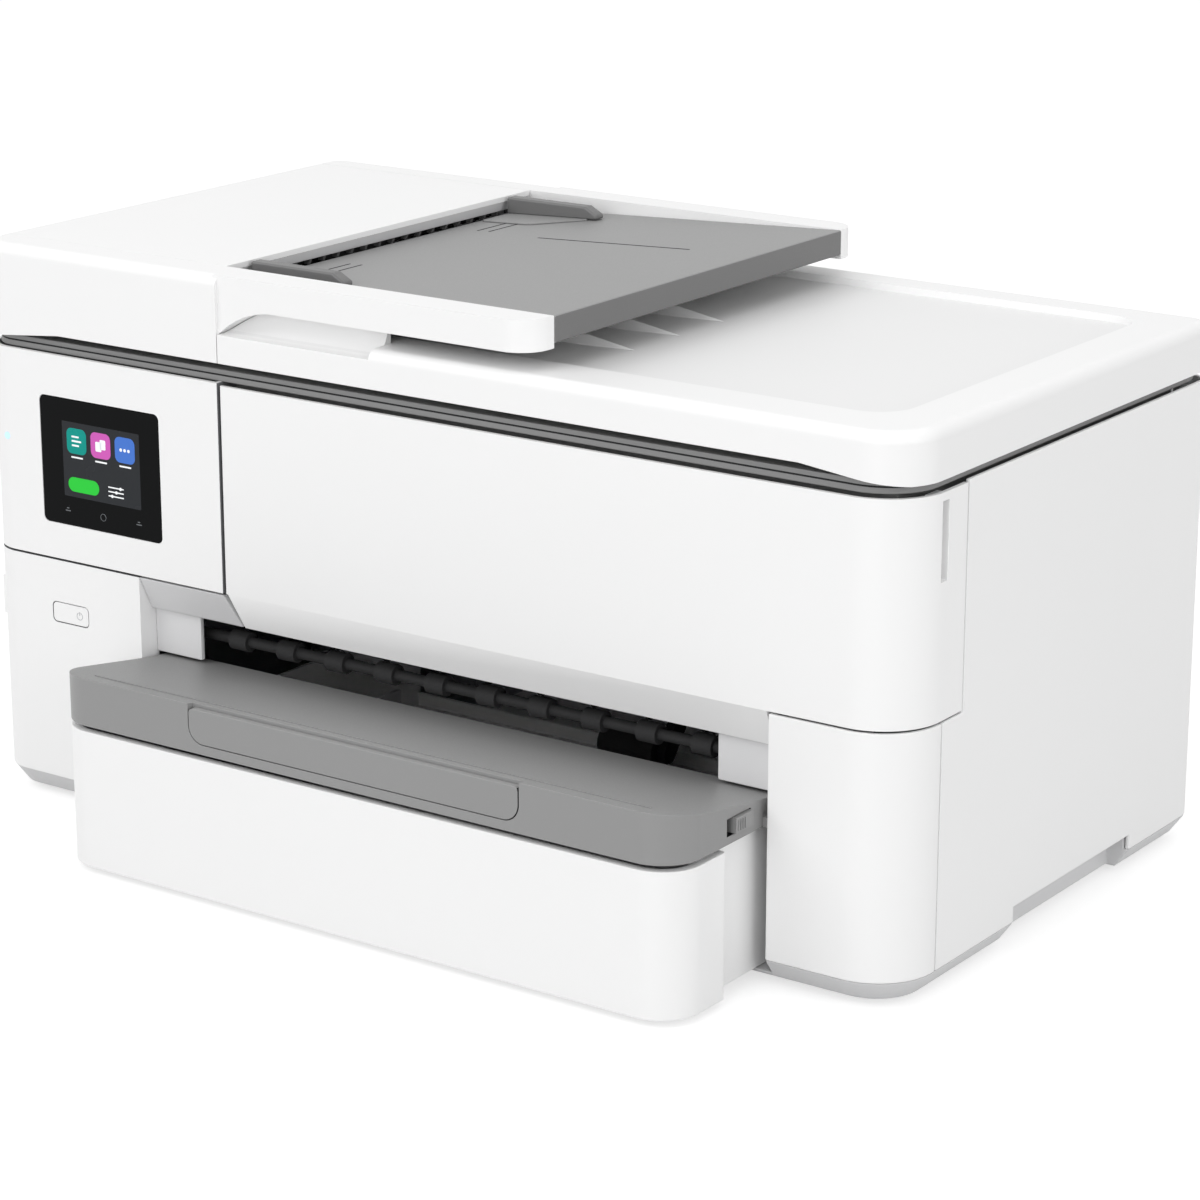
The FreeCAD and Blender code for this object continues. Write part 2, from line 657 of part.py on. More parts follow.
def tray_outline():
    """Side outline of the output tray, low in the middle of its length."""
    return [(Y_TRAY, TRAY_BOTTOM), (behind(TRAY_INNER_DEPTH), TRAY_BOTTOM),
            (behind(TRAY_INNER_DEPTH), TRAY_INNER), (Y_FRONT, TRAY_MID), (Y_TRAY, TRAY_LIP)]


def build_output_tray():
    block = side_prism(tray_outline(), TRAY_L, TRAY_R)
    block = block.common(plan_block(TRAY_L, TRAY_R, Y_TRAY, behind(TRAY_INNER_DEPTH), TRAY_BOTTOM, TRAY_LIP,
                                    [TRAY_CORNER, TRAY_CORNER, WALL, WALL]))
    ext_l = EXT_CENTRE - EXT_W / 2
    ext_r = EXT_CENTRE + EXT_W / 2
    front = TRAY_CORNER / 2
    block = block.cut(side_prism([(Y_TRAY + front, TRAY_BOTTOM + TRAY_SKIN),
                                  (behind(TRAY_INNER_DEPTH), TRAY_BOTTOM + TRAY_SKIN),
                                  (behind(TRAY_INNER_DEPTH), TRAY_INNER - TRAY_SKIN),
                                  (Y_FRONT, TRAY_MID - TRAY_SKIN), (Y_TRAY + front, TRAY_MID)],
                                 ext_l - TOUCH_CLEAR, ext_r + TOUCH_CLEAR))
    gap = TOUCH_CLEAR
    mouth = front_block(ext_l - gap, ext_r + gap, EXT_BOTTOM - gap, TRAY_LIP + 2 * EXT_CORNER, Y_TRAY - WALL,
                        Y_TRAY + EXT_FRONT_T + gap, [EXT_CORNER + gap] * 4)
    block = block.cut(mouth)
    block = block.cut(box(ext_l + EXT_CORNER - gap, ext_r - EXT_CORNER + gap, Y_TRAY, Y_TRAY + front + gap,
                          EXT_BOTTOM + gap, EXT_BOTTOM + 2 * gap + EXT_PLATE_T + WALL))
    latch_y = Y_TRAY + LATCH_SET
    latch_reach = LATCH_H / 2 + gap
    block = block.cut(box(TRAY_R - LATCH_DEEP - LATCH_PROUD - gap, TRAY_R + WALL, latch_y - LATCH_SLOT,
                          latch_y + LATCH_LEN + gap, LATCH_Z - latch_reach, LATCH_Z + latch_reach))
    runner_z = TRAY_BOTTOM + 2 * TRAY_SKIN
    for x0, x1 in ((BAY_L, TRAY_L + TRAY_SKIN), (TRAY_R - TRAY_SKIN, BAY_R)):
        block = merge(block, box(x0, x1, behind(TRAY_SKIN), behind(BAY_WALL_DEPTH - SEAM),
                                 TRAY_BOTTOM, runner_z))
    save("output_tray", block)
    plate_z = EXT_BOTTOM + 2 * gap
    face = front_block(ext_l, ext_r, EXT_BOTTOM, EXT_TOP, Y_TRAY, Y_TRAY + EXT_FRONT_T,
                       [EXT_CORNER, EXT_CORNER, WALL, WALL])
    plate = box(ext_l + EXT_CORNER, ext_r - EXT_CORNER, Y_TRAY + EXT_FRONT_T, Y_TRAY + EXT_LEN,
                plate_z, plate_z + EXT_PLATE_T)
    save("output_extension", merge(face, plate))
    latch_x = TRAY_R + LATCH_PROUD
    save("tray_latch", box(latch_x - LATCH_DEEP, latch_x, latch_y, latch_y + LATCH_LEN,
                           LATCH_Z - LATCH_H / 2, LATCH_Z + LATCH_H / 2))


def build_cassette():
    face = plan_block(TRAY_L, TRAY_R, Y_TRAY, Y_TRAY + 2 * TRAY_CORNER, CASS_BOTTOM, CASS_TOP,
                      [TRAY_CORNER, TRAY_CORNER, WALL, WALL])
    t = CASS_FRONT_T
    face = face.cut(plan_block(TRAY_L + t, TRAY_R - t, Y_TRAY + t, Y_TRAY + 3 * TRAY_CORNER, CASS_BOTTOM + t,
                               CASS_TOP, [TRAY_CORNER - t, TRAY_CORNER - t, WALL, WALL]))
    left = TRAY_L + CASS_SIDE_INSET
    right = TRAY_R - CASS_SIDE_INSET
    z0 = FLOOR_TOP + CASS_LIFT
    end = behind(CASS_TUB_END)
    tub = box(left, right, Y_TRAY + t, end, z0, CASS_TUB_TOP)
    tub = tub.cut(box(left + CASS_WALL, right - CASS_WALL, Y_TRAY + t, end - CASS_WALL,
                      z0 + CASS_WALL, CASS_TUB_TOP))
    tub = tub.cut(box(left + CASS_WALL, right - CASS_WALL, end - 2 * CASS_WALL, end,
                      z0 + CASS_REAR_H, CASS_TUB_TOP))
    bend = TRAY_CORNER - CASS_WALL
    tub = tub.common(plan_block(TRAY_L + CASS_WALL, TRAY_R - CASS_WALL, Y_TRAY + CASS_WALL, end + TRAY_CORNER,
                                CASS_BOTTOM, CASS_TOP, [bend, bend, WALL, WALL]))
    sides = []
    for x0 in (left, right - CASS_WALL):
        sides.append(box(x0, x0 + CASS_WALL, Y_TRAY + TRAY_CORNER, behind(TRAY_INNER_DEPTH) - MOVE_GAP,
                         z0, CASS_TOP))
    save("input_tray", merge(face, tub, *sides))
    floor = z0 + CASS_WALL + TOUCH_CLEAR
    half = GUIDE_PAPER_W / 2
    y0 = behind(GUIDE_START)
    for name, side in (("paper_guide_left", -1), ("paper_guide_right", 1)):
        x0, x1 = sorted((BAY_CENTRE + side * half, BAY_CENTRE + side * (half + GUIDE_T)))
        wall = box(x0, x1, y0, y0 + GUIDE_LEN, floor, floor + GUIDE_H)
        f0, f1 = sorted((BAY_CENTRE + side * (half - GUIDE_FOOT), BAY_CENTRE + side * half))
        foot = box(f0, f1, y0 + GUIDE_LEN / 3, y0 + GUIDE_LEN * 2 / 3, floor, floor + CASS_WALL / 2)
        save(name, merge(wall, foot))
    y0 = Y_TRAY + CASS_FRONT_T + STOP_SET
    stop = box(BAY_CENTRE - STOP_W / 2, BAY_CENTRE + STOP_W / 2, y0, y0 + GUIDE_T, floor, floor + GUIDE_H)
    stop = merge(stop, box(BAY_CENTRE - STOP_W / 4, BAY_CENTRE + STOP_W / 4, y0, y0 + STOP_FOOT,
                           floor, floor + CASS_WALL / 2))
    save("length_guide", stop)


def belt_strap(x0, x1, first, second, r):
    """Solid round two equal circles on axes along X."""
    (y1, z1), (y2, z2) = first, second
    span = math.hypot(y2 - y1, z2 - z1)
    ny = -(z2 - z1) / span * r
    nz = (y2 - y1) / span * r
    flat = side_prism([(y1 + ny, z1 + nz), (y2 + ny, z2 + nz), (y2 - ny, z2 - nz), (y1 - ny, z1 - nz)],
                      x0, x1)
    return merge(flat, rod_x(x0, x1, y1, z1, r), rod_x(x0, x1, y2, z2, r))


def belt_loop(x0, x1, first, second):
    inner = PULLEY_R + BELT_CLEAR
    return belt_strap(x0, x1, first, second, inner + BELT_T).cut(belt_strap(x0, x1, first, second, inner))


def build_chassis():
    y0 = behind(CHASSIS_FRONT)
    y1 = REAR_PLATE_Y + CHASSIS_T
    exit_at = (behind(EXIT_AXIS_Y), EXIT_AXIS_Z)
    feed_at = (behind(FEED_Y), FEED_Z)
    rail_at = (behind(RAIL_Y), RAIL_Z)
    motor_at = (behind(FEED_MOTOR_Y), FEED_MOTOR_Z)
    shafts = [(exit_at, EXIT_SHAFT_R), (feed_at, FEED_SHAFT_R), (rail_at, RAIL_R), (motor_at, MOTOR_SHAFT_R)]
    frame = box(-CHASSIS_HALF, CHASSIS_HALF, REAR_PLATE_Y, y1, CHASSIS_BEAM_Z, CHASSIS_TOP)
    for x0 in (-SHAFT_END, CHASSIS_HALF):
        plate = box(x0, x0 + CHASSIS_T, y0, y1, FLOOR_TOP, CHASSIS_TOP)
        for (y, z), r in shafts:
            plate = plate.cut(rod_x(x0, x0 + CHASSIS_T, y, z, r + SHAFT_CLEAR))
        frame = merge(frame, plate)
    post_x = -(CHASSIS_HALF - PULLEY_INSET)
    frame = merge(frame, rod_y(behind(BELT_Y), REAR_PLATE_Y, post_x, BELT_Z, MOTOR_SHAFT_R))
    for y in (BOARD_Y0 + 2 * BOSS_R, BOARD_Y0 + BOARD_LEN - 2 * BOSS_R):
        for z in (BOARD_Z0 + 2 * BOSS_R, BOARD_Z0 + BOARD_H - 2 * BOSS_R):
            frame = merge(frame, rod_x(SHAFT_END, SHAFT_END + FEED_END_GAP, behind(y), z, BOSS_R))
    pivot_y = behind(PICK_PIVOT_Y)
    half = PICK_W / 2 + 2 * PICK_ARM_T
    for x0 in (PICK_X - half - CHASSIS_T, PICK_X + half):
        frame = merge(frame, box(x0, x0 + CHASSIS_T, pivot_y - 2 * MOTOR_SHAFT_R, REAR_PLATE_Y,
                                 PICK_PIVOT_Z - 2 * MOTOR_SHAFT_R, PICK_PIVOT_Z + 2 * MOTOR_SHAFT_R))
    frame = merge(frame, rod_x(PICK_X - half, PICK_X + half, pivot_y, PICK_PIVOT_Z, MOTOR_SHAFT_R))
    save("inner_chassis", frame)
    save("carriage_rail", rod_x(-SHAFT_END, SHAFT_END, rail_at[0], rail_at[1], RAIL_R))
    board_x = SHAFT_END + FEED_END_GAP
    save("main_board", box(board_x, board_x + BOARD_T, behind(BOARD_Y0), behind(BOARD_Y0 + BOARD_LEN),
                           BOARD_Z0, BOARD_Z0 + BOARD_H))
    pulley_x = -SHAFT_END - FEED_END_GAP
    second_x = pulley_x - FEED_PULLEY_W - 2 * SEAM
    roller = rod_x(-CHASSIS_HALF + SEAM, CHASSIS_HALF - SEAM, feed_at[0], feed_at[1], FEED_R)
    shaft = rod_x(second_x - FEED_PULLEY_W, SHAFT_END, feed_at[0], feed_at[1], FEED_SHAFT_R)
    pulleys = [rod_x(x - FEED_PULLEY_W, x, feed_at[0], feed_at[1], PULLEY_R) for x in (pulley_x, second_x)]
    save("feed_roller", merge(roller, shaft, *pulleys))
    save("feed_belts", Part.makeCompound([
        belt_loop(pulley_x - FEED_PULLEY_W, pulley_x, feed_at, exit_at),
        belt_loop(second_x - FEED_PULLEY_W, second_x, feed_at, motor_at)]))
    motor = rod_x(-CHASSIS_HALF, -CHASSIS_HALF + 2 * MOTOR_R, motor_at[0], motor_at[1], MOTOR_R)
    motor = merge(motor, rod_x(second_x - FEED_PULLEY_W, -CHASSIS_HALF, motor_at[0], motor_at[1],
                               MOTOR_SHAFT_R))
    save("feed_motor", motor)
    pulley = rod_x(second_x - FEED_PULLEY_W, second_x, motor_at[0], motor_at[1], PULLEY_R)
    save("feed_motor_pulley", pulley.cut(rod_x(second_x - FEED_PULLEY_W, second_x, motor_at[0], motor_at[1],
                                               MOTOR_SHAFT_R + SHAFT_CLEAR)))


def build_carriage_drive():
    y0 = behind(BELT_Y)
    left = -(CHASSIS_HALF - PULLEY_INSET)
    right = CHASSIS_HALF - PULLEY_INSET
    for name, x in (("idler_pulley", left), ("motor_pulley", right)):
        pulley = rod_y(y0, y0 + PULLEY_W, x, BELT_Z, PULLEY_R)
        save(name, pulley.cut(rod_y(y0, y0 + PULLEY_W, x, BELT_Z, MOTOR_SHAFT_R + SHAFT_CLEAR)))
    inner = PULLEY_R + BELT_CLEAR

    def strap(r):
        flat = box(left, right, y0, y0 + BELT_W, BELT_Z - r, BELT_Z + r)
        return merge(flat, rod_y(y0, y0 + BELT_W, left, BELT_Z, r), rod_y(y0, y0 + BELT_W, right, BELT_Z, r))
    save("carriage_belt", strap(inner + BELT_T).cut(strap(inner)))
    motor = rod_y(y0 + PULLEY_W + SEAM, REAR_PLATE_Y, right, BELT_Z, MOTOR_R)
    save("carriage_motor", merge(motor, rod_y(y0, y0 + PULLEY_W + SEAM, right, BELT_Z, MOTOR_SHAFT_R)))


def build_carriage():
    x0 = CARRIAGE_X - CARRIAGE_W / 2
    x1 = CARRIAGE_X + CARRIAGE_W / 2
    y0 = behind(CARRIAGE_FRONT)
    y1 = y0 + CARRIAGE_D
    top = CARRIAGE_Z0 + CARRIAGE_H
    carriage = box(x0, x1, y0, y1, CARRIAGE_Z0, top)
    cartridges = []
    for index in range(CARTRIDGE_COUNT):
        cx = CARRIAGE_X + (index - (CARTRIDGE_COUNT - 1) / 2) * CARTRIDGE_PITCH
        floor = CARRIAGE_Z0 + POCKET_FLOOR
        half = CARTRIDGE_W / 2
        front = y0 + WALL
        carriage = carriage.cut(box(cx - half - TOUCH_CLEAR, cx + half + TOUCH_CLEAR, front - TOUCH_CLEAR,
                                    front + CARTRIDGE_D + TOUCH_CLEAR, floor, top))
        cartridge = box(cx - half, cx + half, front, front + CARTRIDGE_D, floor, floor + CARTRIDGE_H)
        tab = box(cx - half / 2, cx + half / 2, front, front + 2 * WALL, floor + CARTRIDGE_H,
                  floor + CARTRIDGE_H + 2 * WALL)
        cartridges.append(merge(cartridge, tab))
    carriage = carriage.cut(rod_x(x0, x1, behind(RAIL_Y), RAIL_Z, RAIL_R + SHAFT_CLEAR))
    tab_z = BELT_Z - PULLEY_R
    clamp = box(CARRIAGE_X - HINGE_BLOCK, CARRIAGE_X + HINGE_BLOCK, y1, behind(BELT_Y) - TOUCH_CLEAR,
                tab_z - HINGE_BLOCK / 2, tab_z + HINGE_BLOCK / 2)
    save("carriage", merge(carriage, clamp))
    save("ink_cartridges", Part.makeCompound(cartridges))
    head_y = y0 + WALL
    save("printhead", box(CARRIAGE_X - HEAD_W / 2, CARRIAGE_X + HEAD_W / 2, head_y, head_y + HEAD_D,
                          CARRIAGE_Z0 - HEAD_H, CARRIAGE_Z0))
    deck = CARRIAGE_Z0 - HEAD_H - PLATEN_GAP
    station_end = -CHASSIS_HALF + SERVICE_W
    mid = head_y + HEAD_D / 2
    save("platen", box(station_end, CHASSIS_HALF, mid - PLATEN_D / 2, mid + PLATEN_D / 2,
                       deck - PLATEN_H, deck))
    station = box(-CHASSIS_HALF, station_end, mid - PLATEN_D / 2, mid + PLATEN_D / 2,
                  deck - 5 * PLATEN_H, deck)
    cap = box(-CHASSIS_HALF + PLATEN_H, station_end - PLATEN_H, mid - HEAD_D / 2, mid + HEAD_D / 2,
              deck - PLATEN_H / 2, deck)
    save("service_station", station.cut(cap))


def build_pick():
    pivot = (behind(PICK_PIVOT_Y), PICK_PIVOT_Z)
    wheel = (behind(PICK_Y), PICK_Z)
    arm_x = PICK_X + PICK_W / 2 + SEAM
    span = math.hypot(wheel[0] - pivot[0], wheel[1] - pivot[1])
    wide = 3 * MOTOR_SHAFT_R
    ny = -(wheel[1] - pivot[1]) / span * wide
    nz = (wheel[0] - pivot[0]) / span * wide
    arm = side_prism([(pivot[0] + ny, pivot[1] + nz), (wheel[0] + ny, wheel[1] + nz),
                      (wheel[0] - ny, wheel[1] - nz), (pivot[0] - ny, pivot[1] - nz)],
                     arm_x, arm_x + PICK_ARM_T)
    arm = merge(arm, rod_x(arm_x, arm_x + PICK_ARM_T, pivot[0], pivot[1], wide),
                rod_x(arm_x, arm_x + PICK_ARM_T, wheel[0], wheel[1], wide),
                rod_x(PICK_X - PICK_W / 2, arm_x, wheel[0], wheel[1], MOTOR_SHAFT_R))
    save("pick_arm", arm.cut(rod_x(arm_x, arm_x + PICK_ARM_T, pivot[0], pivot[1],
                                   MOTOR_SHAFT_R + SHAFT_CLEAR)))
    roller = rod_x(PICK_X - PICK_W / 2, PICK_X + PICK_W / 2, wheel[0], wheel[1], PICK_R)
    save("pick_roller", roller.cut(rod_x(PICK_X - PICK_W / 2, PICK_X + PICK_W / 2, wheel[0], wheel[1],
                                         MOTOR_SHAFT_R + SHAFT_CLEAR)))


def build_scanner():
    rim = SCAN_INSET
    tub = SCAN_TUB_INSET
    inner = tub + WALL
    rim_r = [CORNER_LEFT - rim, CORNER_RIGHT - rim, CORNER_BACK + rim, CORNER_BACK + rim]
    glass_y = (Y_FRONT + Y_BACK) / 2
    gx0 = BED_GLASS_CX - BED_GLASS_W / 2
    gx1 = BED_GLASS_CX + BED_GLASS_W / 2
    gy0 = glass_y - BED_GLASS_D / 2
    gy1 = glass_y + BED_GLASS_D / 2
    under = SCAN_TOP - BED_GLASS_T - SCAN_FLOOR
    base = merge(plan_block(X_L + rim, X_R - rim, Y_FRONT + rim, Y_BACK - rim, BODY_TOP, SCAN_TOP, rim_r),
                 box(X_L + tub, X_R - tub, Y_FRONT + tub, Y_BACK - tub, SCAN_TUB_BOTTOM, BODY_TOP))
    base = base.cut(box(X_L + inner, X_R - inner, Y_FRONT + inner, Y_BACK - inner,
                        SCAN_TUB_BOTTOM + SCAN_FLOOR, under))
    base = base.cut(box(gx0 + BED_LEDGE, gx1 - BED_LEDGE, gy0 + BED_LEDGE, gy1 - BED_LEDGE, under, SCAN_TOP))
    c = TOUCH_CLEAR / 2
    base = base.cut(box(gx0 - c, gx1 + c, gy0 - c, gy1 + c, SCAN_TOP - BED_GLASS_T, SCAN_TOP))
    save("scanner_base", base)
    save("scanner_glass", box(gx0, gx1, gy0, gy1, SCAN_TOP - BED_GLASS_T, SCAN_TOP))
    save("scan_rail", rod_x(X_L + inner, X_R - inner, glass_y, SCAN_RAIL_Z, SCAN_RAIL_R))
    half = SCAN_HEAD_W / 2
    top = under - MOVE_GAP
    head = box(SCAN_HEAD_X - half, SCAN_HEAD_X + half, glass_y - SCAN_HEAD_D / 2, glass_y + SCAN_HEAD_D / 2,
               top - SCAN_HEAD_H, top)
    wide = SCAN_BLOCK_W / 2
    block = box(SCAN_HEAD_X - half, SCAN_HEAD_X + half, glass_y - wide, glass_y + wide,
                SCAN_RAIL_Z - SCAN_RAIL_R - SEAM, top - SCAN_HEAD_H)
    head = merge(head, block)
    save("scan_head", head.cut(rod_x(SCAN_HEAD_X - half, SCAN_HEAD_X + half, glass_y, SCAN_RAIL_Z,
                                     SCAN_RAIL_R + SHAFT_CLEAR)))


def lid_cut_below(shape, x0, x1):
    """Lift the lower edge of the lid at its rear and at its front, where it runs out to the corners."""
    corner = 2 * LID_WALL
    outline = [(max(x0, X_L + corner), LID_SIDE_Z), (min(x1, X_R - corner), LID_SIDE_Z),
               (min(x1, X_R - LID_RUN_OUT), LID_FRONT_Z), (max(x0, X_L + LID_RUN_OUT), LID_FRONT_Z)]
    shape = shape.cut(front_prism(outline, Y_FRONT, behind(LID_CORNER)))
    return shape.cut(box(x0, x1, Y_BACK - 2 * LID_WALL, Y_BACK, LID_SIDE_Z, LID_REAR_Z))


def edges_at_height(shape, z, clear_x):
    """Outer edges that lie flat at one height, without a straight one at a given X."""
    found = []
    for edge in shape.Edges:
        span = edge.BoundBox
        flat = abs(span.ZMin - z) < 0.01 and abs(span.ZMax - z) < 0.01
        on_split = abs(span.XMin - clear_x) < 0.01 and abs(span.XMax - clear_x) < 0.01
        if flat and not on_split:
            found.append(edge)
    return found


def build_lid():
    hinge_y = Y_BACK - LID_HINGE_IN
    ears = []
    for side in (-1, 1):
        x0 = side * LID_EAR_X - LID_EAR_W / 2
        ear = box(x0, x0 + LID_EAR_W, hinge_y - LID_HINGE_IN, hinge_y, SCAN_TOP, LID_HINGE_Z)
        ear = merge(ear, rod_x(x0, x0 + LID_EAR_W, hinge_y, LID_HINGE_Z, LID_HINGE_IN))
        ear = ear.cut(box(x0, x0 + LID_EAR_W, hinge_y, Y_BACK, SCAN_TOP, LID_HINGE_Z - LID_HINGE_IN))
        ears.append(ear.cut(rod_x(x0, x0 + LID_EAR_W, hinge_y, LID_HINGE_Z, LID_PIN_R + SHAFT_CLEAR)))
    save("lid_hinges", Part.makeCompound(ears))
    split = LID_SPLIT_X
    lid = plan_block(split, X_R, Y_FRONT, Y_BACK, LID_SIDE_Z, LID_DECK,
                     [0, LID_CORNER, CORNER_BACK, 0])
    lid = lid.makeFillet(LID_EDGE, edges_at_height(lid, LID_DECK, split))
    roof = LID_DECK - LID_RECESS - LID_WALL
    w = LID_WALL
    lid = lid.cut(plan_block(split + w, X_R - w, Y_FRONT + w, Y_BACK - w, LID_SIDE_Z, roof,
                             [w, LID_CORNER - w, CORNER_BACK - w, w]))
    lid = lid_cut_below(lid, split, X_R)
    panel_z = LID_FRONT_Z - SEAM
    panel_top = panel_z + LID_WALL
    lid = lid.cut(box(split, split + w, Y_FRONT + w, Y_BACK - w, LID_SIDE_Z, panel_top))
    lid = lid.cut(plan_block(split + w, X_R - DECK_SIDE_RIM, behind(DECK_FRONT_RIM), Y_BACK - DECK_REAR_RIM,
                             LID_DECK - LID_RECESS, LID_DECK, [w, DECK_CORNER, DECK_CORNER, w]))
    lid = lid.cut(box(split, split + SCOOP_LEN, Y_FRONT, behind(SCOOP_DEEP), SCOOP_START_Z, LID_DECK))
    lid = merge(lid, scoop_cove())
    lid = pin_and_notch(lid, LID_EAR_X, hinge_y)
    save("scanner_lid", lid)
    edge = LID_WALL + SEAM
    panel = box(X_L + edge + SCAN_INSET, X_R - edge - SCAN_INSET, behind(LID_CORNER), Y_BACK - CORNER_BACK,
                panel_z, panel_top)
    save("lid_inner_panel", panel)
    glass_y = (Y_FRONT + Y_BACK) / 2
    save("lid_backing_pad", box(BED_GLASS_CX - BED_GLASS_W / 2, BED_GLASS_CX + BED_GLASS_W / 2,
                                glass_y - BED_GLASS_D / 2, glass_y + BED_GLASS_D / 2,
                                panel_z - PAD_T, panel_z))


def pin_and_notch(shape, x, hinge_y):
    """Clear the rear wall round one hinge ear and give the lid its lugs and pin."""
    half = LID_EAR_W / 2 + MOVE_GAP
    room = LID_HINGE_IN + MOVE_GAP
    shape = shape.cut(box(x - half, x + half, hinge_y - room, Y_BACK, LID_SIDE_Z, LID_HINGE_Z + room))
    for x0 in (x - half - LID_WALL, x + half):
        shape = merge(shape, box(x0, x0 + LID_WALL, hinge_y - LID_HINGE_IN, Y_BACK - LID_WALL / 2,
                                 LID_HINGE_Z - LID_PIN_R, LID_HINGE_Z + 2 * LID_HINGE_IN))
    return merge(shape, rod_x(x - half - LID_WALL, x + half + LID_WALL, hinge_y, LID_HINGE_Z, LID_PIN_R))


def scoop_cove():
    """Hollow wall at the back of the scoop, from the lid's front edge up to the arm."""
    x0 = LID_SPLIT_X
    front = behind(SCOOP_EDGE)
    back = behind(SCOOP_DEEP)
    top = ARM_BOTTOM - SEAM
    root = SCOOP_START_Z - SCOOP_EDGE
    low = vec(x0, front, SCOOP_START_Z)
    high = vec(x0, back, top)
    chord = (low + high) * 0.5
    mid = chord + (vec(x0, back, SCOOP_START_Z) - chord) * COVE_BULGE
    rest = [high, vec(x0, back + WALL, top), vec(x0, back + WALL, root), vec(x0, front, root), low]
    edges = [Part.Arc(low, mid, high).toShape()]
    for start, end in zip(rest, rest[1:]):
        edges.append(Part.LineSegment(start, end).toShape())
    cove = Part.Face(Part.Wire(edges)).extrude(vec(SCOOP_LEN, 0, 0))
    return cove.cut(scoop_web(SEAM))


def scoop_web(room=0):
    """Curved web from the feeder housing up to the underside of the front arm, with room round it."""
    x0 = LID_SPLIT_X - SEAM
    x1 = LID_SPLIT_X + SCOOP_RUN + room
    y0 = behind(ARM_START) - room
    low = vec(x0, y0, SCOOP_START_Z - room)
    tip = vec(x1, y0, ARM_BOTTOM)
    root = vec(x0, y0, ARM_BOTTOM)
    chord = (low + tip) * 0.5
    mid = chord + (root - chord) * SCOOP_BULGE
    edges = [Part.Arc(low, mid, tip).toShape(), Part.LineSegment(tip, root).toShape(),
             Part.LineSegment(root, low).toShape()]
    depth = SCOOP_DEEP - ARM_START - SEAM + 2 * room
    return Part.Face(Part.Wire(edges)).extrude(vec(0, depth, 0))


def build_feeder_housing():
    hinge_y = Y_BACK - LID_HINGE_IN
    right = LID_SPLIT_X - SEAM
    top = FEEDER_TOP
    block = plan_block(X_L, right, Y_FRONT, Y_BACK, LID_SIDE_Z, top, [CORNER_LEFT, 0, 0, CORNER_BACK])
    block = block.makeFillet(LID_EDGE, edges_at_height(block, top, right))
    w = LID_WALL
    y0 = behind(ARM_START + ARM_FRONT_D)
    y1 = Y_BACK - ARM_REAR_D - ARM_START
    floor = LID_DECK
    block = block.cut(box(X_L + w, right, y0, y1, floor, top))
    block = block.cut(box(X_L, X_L + w, y0, y1, top - COVER_WALL_DROP, top))
    block = block.cut(plan_block(X_L + w, right - w, Y_FRONT + w, Y_BACK - w, LID_SIDE_Z, floor - w,
                                 [CORNER_LEFT - w, w, w, CORNER_BACK - w]))
    block = lid_cut_below(block, X_L, right)
    block = block.cut(box(right - w, right, Y_FRONT + w, Y_BACK - w, LID_SIDE_Z, LID_FRONT_Z - SEAM + w))
    arm_end = ARM_END_X
    r = ARM_END_R
    front = plan_block(right - w, arm_end, behind(ARM_START), y0, ARM_BOTTOM, top, [0, r, 0, 0])
    rear = plan_block(right - w, arm_end, y1, Y_BACK - ARM_START, ARM_BOTTOM, top, [0, 0, r, 0])
    block = merge(block, front, rear, scoop_web())
    pick = (FEED_PICK_X, FEED_PICK_Z)
    block = block.cut(rod_y(y0 - 2 * w, y1 + 2 * w, pick[0], pick[1], COVER_PIN_R + SHAFT_CLEAR))
    cover_axis = (X_L + COVER_HINGE_IN, top - COVER_HINGE_DROP)
    block = block.cut(rod_y(y0 - 2 * w, y1 + 2 * w, cover_axis[0], cover_axis[1], COVER_PIN_R + SHAFT_CLEAR))
    block = pin_and_notch(block, -LID_EAR_X, hinge_y)
    save("feeder_housing", block)
    build_feeder_cover(y0, y1, cover_axis)
    shaft = rod_y(y0 - 2 * w + SEAM, y1 + 2 * w - SEAM, pick[0], pick[1], COVER_PIN_R)
    mid = (y0 + y1) / 2
    tyre = rod_y(mid - FEED_PICK_W / 2, mid + FEED_PICK_W / 2, pick[0], pick[1], FEED_PICK_R - SEAM)
    save("feeder_pick_roller", merge(shaft, tyre))
    build_feeder_tray(y0, y1)


def build_feeder_cover(y0, y1, axis):
    w = LID_WALL
    c = TOUCH_CLEAR
    top = FEEDER_TOP
    cover = box(X_L, COVER_RIGHT_X, y0 + c, y1 - c, top - COVER_SKIRT, top)
    crown = []
    for edge in cover.Edges:
        span = edge.BoundBox
        if abs(span.XMax - X_L) < 0.01 and abs(span.ZMin - top) < 0.01:
            crown.append(edge)
    cover = cover.makeFillet(LID_EDGE, crown)
    cover = cover.cut(box(X_L + w, COVER_RIGHT_X, y0, y1, top - COVER_SKIRT, top - COVER_T - LID_EDGE / 2))
    cover = cover.cut(box(X_L + LID_EDGE, COVER_RIGHT_X, y0, y1, top - COVER_SKIRT, top - COVER_T))
    for start in (y0 + c, y1 - c - w):
        cover = merge(cover, box(X_L + w / 2, axis[0] + w, start, start + w, axis[1] - w, top - COVER_T / 2))
    pins = [rod_y(y0 - 2 * w + SEAM, y0 + c + w, axis[0], axis[1], COVER_PIN_R),
            rod_y(y1 - c - w, y1 + 2 * w - SEAM, axis[0], axis[1], COVER_PIN_R)]
    save("feeder_cover", merge(cover, *pins))


def tray_top_at(x):
    """Height of the feeder tray's sloping top at one X."""
    run = FEED_TRAY_END - COVER_RIGHT_X
    return FEED_TRAY_LOW_TOP + (x - COVER_RIGHT_X) / run * (FEEDER_TOP - FEED_TRAY_LOW_TOP)


